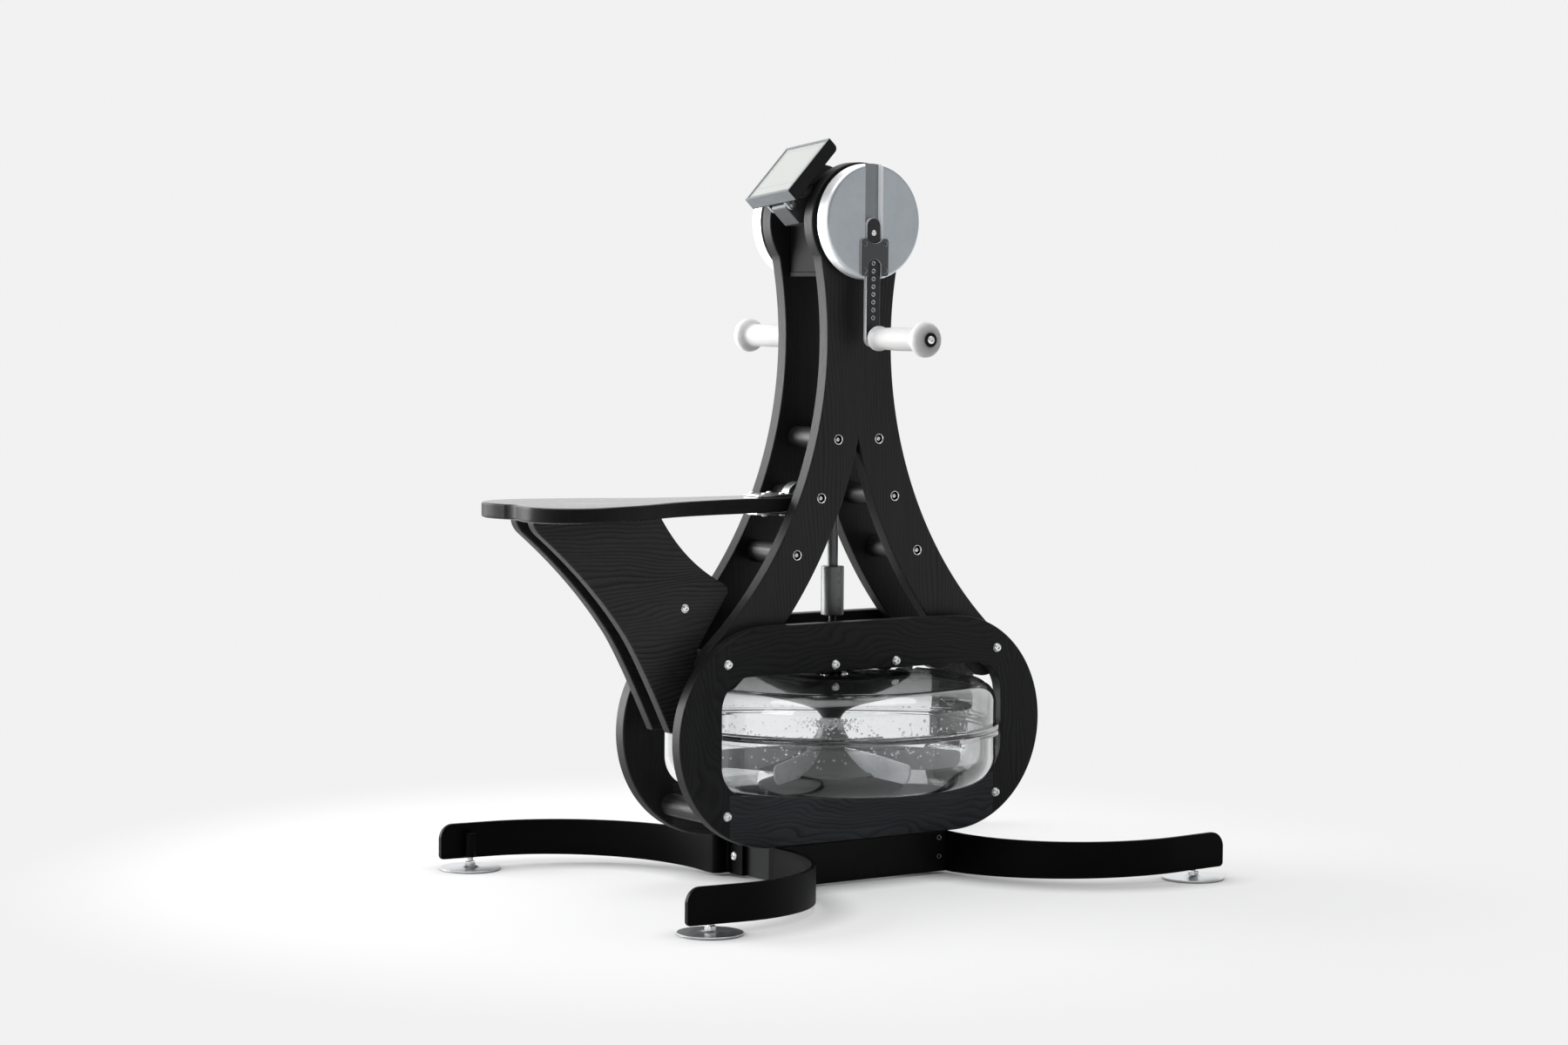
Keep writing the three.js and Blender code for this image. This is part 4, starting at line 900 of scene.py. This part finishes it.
bm = bmesh.new()
half = TOWER_IN - GAP
board(bm, rounded(-60, 60, -half, half, 10, 12), 975, 1125, edge=3.0, upright=False)
cutter = bmesh.new()
board(cutter, rounded(-54, 54, -half + 6, half - 6, 5, 6), 985, 1119, edge=0, upright=False)
bm = cut_by_rod(cut_by(bm, cutter), 14, -60, 60, at(0, 0, CRANK_Z, 1))
bm = cut_by_rod(bm, 19.3, 960, 1000)
make("gear_housing_cast", bm, HOUSING_STEEL, "frame", ["gear_housing"], crease=38)
bm = bmesh.new()
for z0, z1 in ((975.0, 983.5), (1117.0, 1125.0)):
    # raised lips at the housing's lower and upper edges
    board(bm, rounded(-61.5, 61.5, -half + 0.2, half - 0.2, 9.5, 10), z0, z1,
          holes=[rounded(-57, 57, -half + 3, half - 3, 8, 8)], edge=1.6, upright=False)
make("gear_housing_lips", bm, HOUSING_STEEL, "frame", crease=38)

# ---- cranks ----

CLAMP_HALF, CLAMP_HIGH, CLAMP_LOW = 27.0, CRANK_Z - 26.7, CRANK_Z - 87.0
for word, side in SIDES:
    centre = at(0, 0, CRANK_Z, side)
    bm = bmesh.new()
    rim = ([(12.9, 70.5), (27, 70.5), (28, 71.5), (28, 79), (90.3, 79), (91.8, 79.6), (92.5, 81.0),
            (92.5, 100.8)] + arc(86.5, 100.3, 6.0, 0, QUARTER, 8)[1:])
    lathe(bm, [(0, 92.4), (12.9, 92.4)] + rim + [(60, 106.3), (30, 106.3), (0, 106.3)], centre, 160)
    cutter = bmesh.new()
    block(cutter, (-14.35, 14.35), span(side, 97.3, 112), (CRANK_Z - 99, CRANK_Z + 99))
    for vert in cutter.verts:
        if abs(vert.co.y) > 105:
            vert.co.x *= 1.36     # the groove's walls slope outwards
    make(f"crank_disc_{word}_steel", cut_by(bm, cutter), DISC_STEEL, "crank", [f"crank_disc_{word}"], crease=30)

    # the clamp plate over the arm, with its four screws
    notch = [(15 * math.cos(a), CLAMP_HIGH - 8 * math.sin(a) ** 1.4) for a in
             [math.pi * i / 20 for i in range(1, 20)]]
    outline = ([(-12.5, CLAMP_LOW)] + arc(0, CLAMP_LOW + 15, 12.5, math.pi, 0, 24) + [(12.5, CLAMP_LOW)]
               + arc(CLAMP_HALF - 5, CLAMP_LOW + 5, 5, -QUARTER, 0, 8)
               + arc(CLAMP_HALF - 5, CLAMP_HIGH - 5, 5, 0, QUARTER, 8)
               + [(16.5, CLAMP_HIGH)] + notch + [(-16.5, CLAMP_HIGH)]
               + arc(-CLAMP_HALF + 5, CLAMP_HIGH - 5, 5, QUARTER, math.pi, 8)
               + arc(-CLAMP_HALF + 5, CLAMP_LOW + 5, 5, math.pi, 3 * QUARTER, 8))
    spots = [(x, z) for x in (-20.0, 20.0) for z in (CLAMP_LOW + 8.5, CLAMP_HIGH - 8.5)]
    sawn(f"arm_clamp_{word}_plate", outline, *span(side, 106.6, 109.6), CLAMP_STEEL, "crank",
         [f"arm_clamp_{word}"], holes=[circle(x, z, 4.5, 32) for x, z in spots], edge=0.9, hole_edge=0.6)
    bm = bmesh.new()
    for x, z in spots:
        face = at(x, side * 106.7, z, side)
        lathe(bm, [(0, 0), (4.3, 0), (4.3, 1.2), (4.0, 1.6), (0, 1.6)], face, 32)
        button_head(bm, raised(face, 0.6), 3.5, 1.9, 1.7, 1.4)
    make(f"arm_clamp_{word}_screws", bm, SHAFT_STEEL, "crank")

    # the arm, its lined holes, top bolt, spindle and end bolt
    arm_body = f"arm_{word}"
    outline = (arc(0, HANDLE_Z, 13.5, math.pi, TURN, 28) + arc(0, CRANK_Z + 6 - 13.5, 13.5, 0, math.pi, 28))
    holes = [(0, HANDLE_Z + 33 + i * 12.4) for i in range(8)]
    bm = bmesh.new()
    board(bm, outline, *span(side, 98, 106), holes=[circle(x, z, 3.3, 28) for x, z in holes], edge=1.1,
          hole_edge=0.3)
    lathe(bm, rod(6, 102.3, 257.6), at(0, 0, HANDLE_Z, side), 32)
    make(f"crank_arm_{word}_steel", bm, ARM_STEEL, arm_body, [f"crank_arm_{word}"])
    bm = bmesh.new()
    for x, z in holes:
        face = at(x, side * 106.0, z, side)
        lathe(bm, [(2.5, -7.6), (3.3, -7.6), (3.3, -0.1), (3.5, 0.15), (3.2, 0.3), (2.8, 0.1), (2.5, -0.5),
                   (2.5, -7.6)], face, 28)
    top = at(0, side * 105.9, CRANK_Z - 17.8, side)
    lathe(bm, [(0, 0), (4.6, 0), (4.6, 0.4), (4.2, 0.6), (0, 0.6)], top, 32)
    button_head(bm, raised(top, 0.2), 3.9, 2.6, 1.6, 1.6)
    end = at(0, side * 258.0, HANDLE_Z, side)
    button_head(bm, raised(end, 0.9), 6.4, 3.0, 2.9, 1.9)
    make(f"crank_arm_{word}_bright", bm, BRIGHT_STEEL, arm_body)
    turned(f"crank_arm_{word}_end_ring", [(0, 0), (10.9, 0), (11.5, 0.6), (11.3, 1.8), (10.2, 2.3), (8.2, 2.0),
                                          (7.4, 0.9), (0, 0.9)], BLACK_BLOCK, arm_body, (), end, 56)

    grip = smooth_profile([(13.2, 112.3), (17.4, 114.6), (19.8, 119.4), (20.0, 124.6), (18.7, 130.0),
                           (17.5, 137.0), (17.9, 154), (18.6, 174), (18.5, 205), (18.3, 221.5), (19.6, 229.5),
                           (24.0, 235.4), (27.2, 240.2), (28.0, 245.0), (26.9, 250.2), (24.2, 254.0),
                           (19.8, 256.4), (14.6, 257.6)])
    turned(f"hand_grip_{word}_foam", [(6.3, 112.3), *grip, (6.3, 257.7), (6.3, 112.3)], GRIP_WHITE,
           f"grip_{word}", [f"hand_grip_{word}"], at(0, 0, HANDLE_Z, side))

# ---- seat ----
SEAT_TOP, SEAT_T = 623.0, 24.0
HINGE_X, HINGE_Z = -BOLTS_TOWER[1][0], BOLTS_TOWER[1][1]
SEAT_FRONT = HINGE_X - BAR_R - 6.2
SEAT_REAR = -613.0
SEAT_BOLT = (-309.5, 452.6)


def bezier(points, steps):
    """Points along a quadratic or cubic curve, its start left out."""
    result = []
    for i in range(1, steps + 1):
        t = i / steps
        level = [Vector(p) for p in points]
        while len(level) > 1:
            level = [a.lerp(b, t) for a, b in zip(level, level[1:])]
        result.append(tuple(level[0]))
    return result


far_half = smooth_profile([(SEAT_FRONT, 38), (-200, 41), (-276, 50), (-345, 67), (-400, 92), (-450, 113),
                           (-510, 129), (-560, 128), (-594, 108), (SEAT_REAR + 2, 76), (SEAT_REAR + 0.6, 50),
                           (SEAT_REAR + 7, 20)], 9)
notch = bezier([(SEAT_REAR + 7, 20), (SEAT_REAR + 18, 0), (SEAT_REAR + 7, -20)], 12)[:-1]
sawn("seat_board_ash", far_half + notch + [(x, -y) for x, y in reversed(far_half)], SEAT_TOP - SEAT_T, SEAT_TOP,
     WOOD_SEAT, "seat", ["seat_board"], edge=3.6, upright=False, steps=6)

top = SEAT_TOP - SEAT_T - GAP
support = [(-587, top)]
for piece in (((-586, 587), (-575, 577)), ((-482, 501), (-424, 421)), ((-397, 386), (-336, 257)), ((-309, 257),),
              ((-305, 290), (-294, 335), (-285.5, 352)), ((-285.5, 385),), ((-268, 412), (-230, 470)),
              ((-224, 482), (-236, 489)), ((-290, 516), (-326, 552), (-355, top))):
    support += bezier([support[-1], *piece], 1 if len(piece) == 1 else 16)
for word, side in SIDES:
    sawn(f"seat_support_{word}_ash", support, *span(side, 16, 35),
         WOOD_SUPPORT_NEAR if side < 0 else WOOD_SUPPORT_FAR, "seat", [f"seat_support_{word}"],
         holes=[circle(*SEAT_BOLT, 4.4, 32)], edge=2.4, hole_edge=0.4)

bm = bmesh.new()
lathe(bm, [(0, -15.7), (13.4, -15.7), (14, -15.1), (14, 15.1), (13.4, 15.7), (0, 15.7)],
      at(SEAT_BOLT[0], 0, SEAT_BOLT[1], 1), 48)
for _, side in SIDES:
    face = at(SEAT_BOLT[0], side * 35.1, SEAT_BOLT[1], side)
    lathe(bm, rod(4, -19, 0), face, 24)
    washer(bm, face, 7.0, 3.9, 0.9)
    button_head(bm, raised(face, 0.9), 6.0, 3.4)
make("seat_through_bolt_steel", bm, BRIGHT_STEEL, "seat", ["seat_through_bolt"])

# two plates clasp the front of the board and end in a hook over the crossbar
bm = bmesh.new()
reach = BAR_R + 0.6
hook = (arc(HINGE_X, HINGE_Z, reach + 5, math.pi, -math.pi / 6, 40)
        + arc(HINGE_X, HINGE_Z, reach, -math.pi / 6, math.pi, 40))
board(bm, hook, -10, 10, edge=1.2)
web = HINGE_X - reach
block(bm, (web - 5, web), (-28, 28), (SEAT_TOP - SEAT_T - 4.3, SEAT_TOP + 4.3), edge=1.4)
for outline, z0 in ((rounded(-162, web - 2, -28, 28, 9, 8), SEAT_TOP + 0.3),
                    (rounded(-165, web - 2, -28, 28, 9, 8), SEAT_TOP - SEAT_T - 4.3)):
    board(bm, outline, z0, z0 + 4, edge=1.0, upright=False)
make("seat_hook_steel", bm, HOOK_STEEL, "seat", ["seat_hook"])
bm = bmesh.new()
for x in (-148.0, -114.0):
    for y in (-18.0, 18.0):
        for z, turn in ((SEAT_TOP + 4.3, 0.0), (SEAT_TOP - SEAT_T - 4.3, math.pi)):
            button_head(bm, at(x, y, z) @ Matrix.Rotation(turn, 4, "X"), 4.6, 2.6)
make("seat_hook_bolts", bm, BRIGHT_STEEL, "seat")

# ---- monitor ----
MONITOR_TILT = math.radians(44.7)
MONITOR = (Matrix.Translation((-95.5, 0, 1147)) @ Matrix.Rotation(math.radians(-6.1), 4, "X")
           @ Matrix.Rotation(-MONITOR_TILT, 4, "Y"))
PIVOT = (-51.0, -34.5)
bm = bmesh.new()
profile = ([(-61, 0), (61, 0)] + arc(61 - 8, -22.5 + 8, 8, 0, -QUARTER, 12)
           + arc(-61 + 3, -22.5 + 3, 3, -QUARTER, -math.pi, 6))
board(bm, profile, -61, 61, edge=1.0)
cutter = bmesh.new()
block(cutter, (-56, 56), (-56, 56), (-3, 4))
bm = cut_by(bm, cutter)
back = ([(-37, -21.5), (53, -21.5)] + arc(53 - 4.9, -27.5 + 4.9, 4.9, 0, -QUARTER, 8)
        + arc(-37 + 3, -27.5 + 3, 3, -QUARTER, -math.pi, 6))
board(bm, back, -43.2, 43.2, edge=1.2)
make("monitor_case_ash", bm, WOOD_MONITOR, "monitor", ["monitor_case"], place=MONITOR)
bm = bmesh.new()
for _, side in SIDES:
    ear = ([(PIVOT[0] + 8, -21.5)] + [(PIVOT[0] - 8, -21.5)]
           + arc(PIVOT[0], PIVOT[1], 8, math.pi, TURN, 16))
    board(bm, ear, *span(side, 21, 26), edge=0.9)
    face = at(PIVOT[0], side * 26, PIVOT[1], side)
    washer(bm, face, 6.0, 3.0, 0.8)
    button_head(bm, raised(face, 0.6), 4.4, 2.2)
lathe(bm, rod(4, -26, 26), at(PIVOT[0], 0, PIVOT[1], 1), 32)
make("monitor_pivot_steel", bm, HOOK_STEEL, "monitor", place=MONITOR)
sawn("monitor_screen_trim", rounded(-55.7, 55.7, -55.7, 55.7, 1.5, 5), -2.7, -0.7, MONITOR_TRIM, "monitor",
     ["monitor_screen"], MONITOR, holes=[rounded(-53.2, 53.2, -53.2, 53.2, 1.0, 4)], edge=0.4, upright=False)
sawn("monitor_screen_cover", rounded(-53.1, 53.1, -53.1, 53.1, 1.0, 4), -2.7, -1.1, SCREEN, "monitor", (), MONITOR,
     edge=0.15, upright=False)
sawn("monitor_screen_line", rounded(-38.0, 48.6, -48.6, 48.6, 1.0, 4), -1.5, -1.02, SCREEN_LINE, "monitor", (),
     MONITOR, holes=[rounded(-37.3, 47.9, -47.9, 47.9, 0.6, 4)], edge=0, upright=False)


def from_pivot(across, up):
    """A point of the monitor's own X-Z plane, from level and upright offsets to its pivot."""
    tilt = MONITOR_TILT
    return (PIVOT[0] + across * math.cos(tilt) + up * math.sin(tilt),
            PIVOT[1] - across * math.sin(tilt) + up * math.cos(tilt))


# a short block from the housing's seat side to the pivot, flat underneath
nose = arc(0, 0, 9, math.radians(60), math.radians(225), 16)
outline = [from_pivot(*spot) for spot in nose + [(13.3, -26.0), (16.0, -28.5), (47.1, -28.5), (47.1, 20.0)]]
sawn("monitor_bracket_block", outline, -20, 20, BRACKET_GREY, "frame", ["monitor_bracket"], MONITOR,
     holes=[circle(*PIVOT, 4.3, 32)], edge=1.2, hole_edge=0.3)

# ---- water drops inside the tank ----
rng = random.Random(7)
bm = bmesh.new()


def drop(point, normal, radius, flat=0.42):
    turn = Vector((0, 0, 1)).rotation_difference(normal).to_matrix().to_4x4()
    place = Matrix.Translation(point) @ turn @ Matrix.Rotation(rng.uniform(0, TURN), 4, "Z")
    stretch = rng.uniform(0.85, 1.35)
    dome = [(radius * x, radius * flat * z) for x, z in arc(0, 0, 1, 0, QUARTER, 4)[:-1]]
    lathe(bm, [(0, -0.02), *dome, (0, radius * flat)], place @ Matrix.Diagonal((1, stretch, 1, 1)), 10)


wall = TANK_R - 4.0
for _ in range(900):
    # on the inside of the lower wall and low on the upper one, thicker towards the seam
    angle = rng.uniform(0, TURN)
    height = rng.choice((rng.gauss(236, 10), rng.uniform(206, 240), rng.gauss(258, 6), rng.uniform(252, 284)))
    if not 203 < height < 286 or 242 < height < 251:
        continue
    if height < 243:
        spot = polar(257.0, angle, height)
    else:
        spot = polar(wall, angle, max(height, 256))
    drop(spot, polar(-1, angle, 0), rng.uniform(0.8, 2.3))
for _ in range(900):
    # under the lid, round the bearing cone
    angle = rng.uniform(0, TURN)
    radius = 86 + abs(rng.gauss(0, 42))
    if radius < 225:
        drop(polar(radius, angle, TANK_TOP - 4.2), Vector((0, 0, -1)), rng.uniform(0.6, 2.2))
for _ in range(420):
    # a thick spray on the wall beside the seat
    angle = math.radians(rng.gauss(-125.6, 4.8))
    height = rng.gauss(281.0, 6.0)
    if 264 < height < 288:
        drop(polar(wall, angle, height), polar(-1, angle, 0), rng.uniform(0.5, 1.5))
make("tank_drops", bm, DROPLET, "frame", weighted=False)

bm = bmesh.new()
for _ in range(620):
    # on the paddle's blades and hub
    blade = rng.randrange(6)
    angle = TURN * (blade + 0.5) / 6
    face = rng.choice((-1, 1))
    reach = rng.uniform(95, 208)
    height = rng.uniform(176, 200)
    across = polar(face, angle + QUARTER, 0)
    drop(polar(reach, angle, height) + across * 1.5, across, rng.uniform(0.8, 2.2))
make("paddle_drops", bm, DROPLET, "drive", weighted=False)

# ---- stage, light and camera ----
PAPER = 0.885                         # how bright the empty stage is seen
SEEN_SHARE, SEEN_ADDED = 0.42, 0.515  # how much of the lamps' light the paper shows, and what is added to it
GLOSSY_RAYS, OTHER_RAYS = 1.25, 0.5   # what the far paper gives to reflections and to everything else
WORLD = 0.10                          # how bright the world is as a light
CAMERA_YAW, CAMERA_PITCH, CAMERA_ROLL = (math.radians(a) for a in (34.802, 3.748, 0.404))


def paper_material():
    """Pale paper: evenly bright where the camera sees it, with the object's soft shadow near its middle, partly
    cast by the lamps and partly painted close under it.
    """
    n = Nodes("studio_paper")
    place = n.coords()
    fibre = n.noise(place, 420.0, 2.0, 0.6)
    camera_ray, glass_ray, glossy_ray = (n.add("ShaderNodeLightPath", out=f"Is {kind} Ray")
                                         for kind in ("Camera", "Transmission", "Glossy"))
    seen = camera_ray.at_least(glass_ray)
    tone = n.ramp(n.noise(place, 1.1, 3.0, 0.5), (0.3, shade(0.78)), (0.7, shade(0.80)))
    n.out(Base_Color=n.blend(seen * (1.0 - SEEN_SHARE), tone, shade(0.0)), Roughness=fibre * 0.1 + 0.85,
          Normal=n.bump(fibre, 0.00003, 0.4), Specular_IOR_Level=0.1)
    # light is added to the lit paper where it is seen, except close under the object, where this leaves a painted
    # contact shadow
    open_sky = n.add("ShaderNodeAmbientOcclusion", {"Distance": 0.08}, out="AO", samples=8) ** 1.9
    added = n.add("ShaderNodeEmission", {"Strength": seen * open_sky * SEEN_ADDED})
    near = n.add("ShaderNodeAddShader", {0: n.lit, 1: added})
    # further out, the paper is plainly bright
    other = glossy_ray * (GLOSSY_RAYS - OTHER_RAYS) + OTHER_RAYS
    far = n.add("ShaderNodeEmission", {"Strength": (seen * PAPER).at_least((1.0 - seen) * other)})
    distance = n.add("ShaderNodeVectorMath", {0: place}, out="Value", operation="LENGTH")
    fade = n.fade(distance, 0.7, 1.35, interpolation_type="SMOOTHSTEP")
    n.surface(n.add("ShaderNodeMixShader", {0: fade, 1: near, 2: far}))
    return n.material


def stage_sheet():
    """A pale floor that sweeps up into a backdrop behind the object."""
    bm = bmesh.new()
    turn = Matrix.Rotation(math.radians(-34.8), 4, "Z")     # across the camera's view
    run = [(-9.0, 0.0)] + arc(2.6, 3.0, 3.0, -QUARTER, 0, 24) + [(5.6, 8.0)]
    rows = [[bm.verts.new(turn @ Vector((across, depth, height))) for across in (-12.0, -4.0, 4.0, 12.0)]
            for depth, height in run]
    for first, second in zip(rows, rows[1:]):
        for i in range(3):
            bm.faces.new((first[i], first[i + 1], second[i + 1], second[i])).smooth = True
    mesh = bpy.data.meshes.new("studio_sweep")
    bm.to_mesh(mesh)
    bm.free()
    mesh.materials.append(paper_material())
    add_object("studio_sweep", mesh)


stage_sheet()


for name, place, target_z, width, height, power in (("light_left_back", (-2.5, 2.9, 1.1), 0.6, 2.6, 2.4, 320),
                                                    ("light_left", (-3.8, -1.2, 1.5), 0.8, 1.6, 1.8, 30),
                                                    ("light_top", (0.0, 0.2, 4.2), 0.0, 5.0, 5.0, 180),
                                                    ("light_front_right", (2.9, -4.2, 2.3), 0.9, 2.8, 2.2, 18)):
    lamp = bpy.data.lights.new(name, "AREA")
    lamp.shape = "RECTANGLE"
    lamp.size = width
    lamp.size_y = height
    lamp.energy = power
    made = add_object(name, lamp)
    made.location = place
    made.rotation_euler = (Vector((0, 0, target_z)) - Vector(place)).to_track_quat("-Z", "Y").to_euler()

world = bpy.data.worlds.new("studio")
world.use_nodes = True
bpy.context.scene.world = world
sky = world.node_tree.nodes["Background"]
sky.inputs[0].default_value = (0.97, 0.985, 1.0, 1)
# dim as a light, pale where it is seen past the paper
tree = world.node_tree
path = tree.nodes.new("ShaderNodeLightPath")
strength = tree.nodes.new("ShaderNodeMath")
strength.operation = "MULTIPLY_ADD"
strength.inputs[1].default_value = PAPER - WORLD
strength.inputs[2].default_value = WORLD
tree.links.new(path.outputs["Is Camera Ray"], strength.inputs[0])
tree.links.new(strength.outputs[0], sky.inputs[1])
bpy.context.scene.view_settings.view_transform = "Standard"

camera_data = bpy.data.cameras.new("camera")
camera_data.sensor_width = 36.0
camera_data.lens = 83.118
camera_data.clip_end = 60.0
camera = add_object("camera", camera_data)
camera.matrix_world = (Matrix.Translation((-3.3745, -4.7803, 0.9611)) @ Matrix.Rotation(-CAMERA_YAW, 4, "Z")
                       @ Matrix.Rotation(QUARTER - CAMERA_PITCH, 4, "X") @ Matrix.Rotation(CAMERA_ROLL, 4, "Z"))
bpy.context.scene.camera = camera
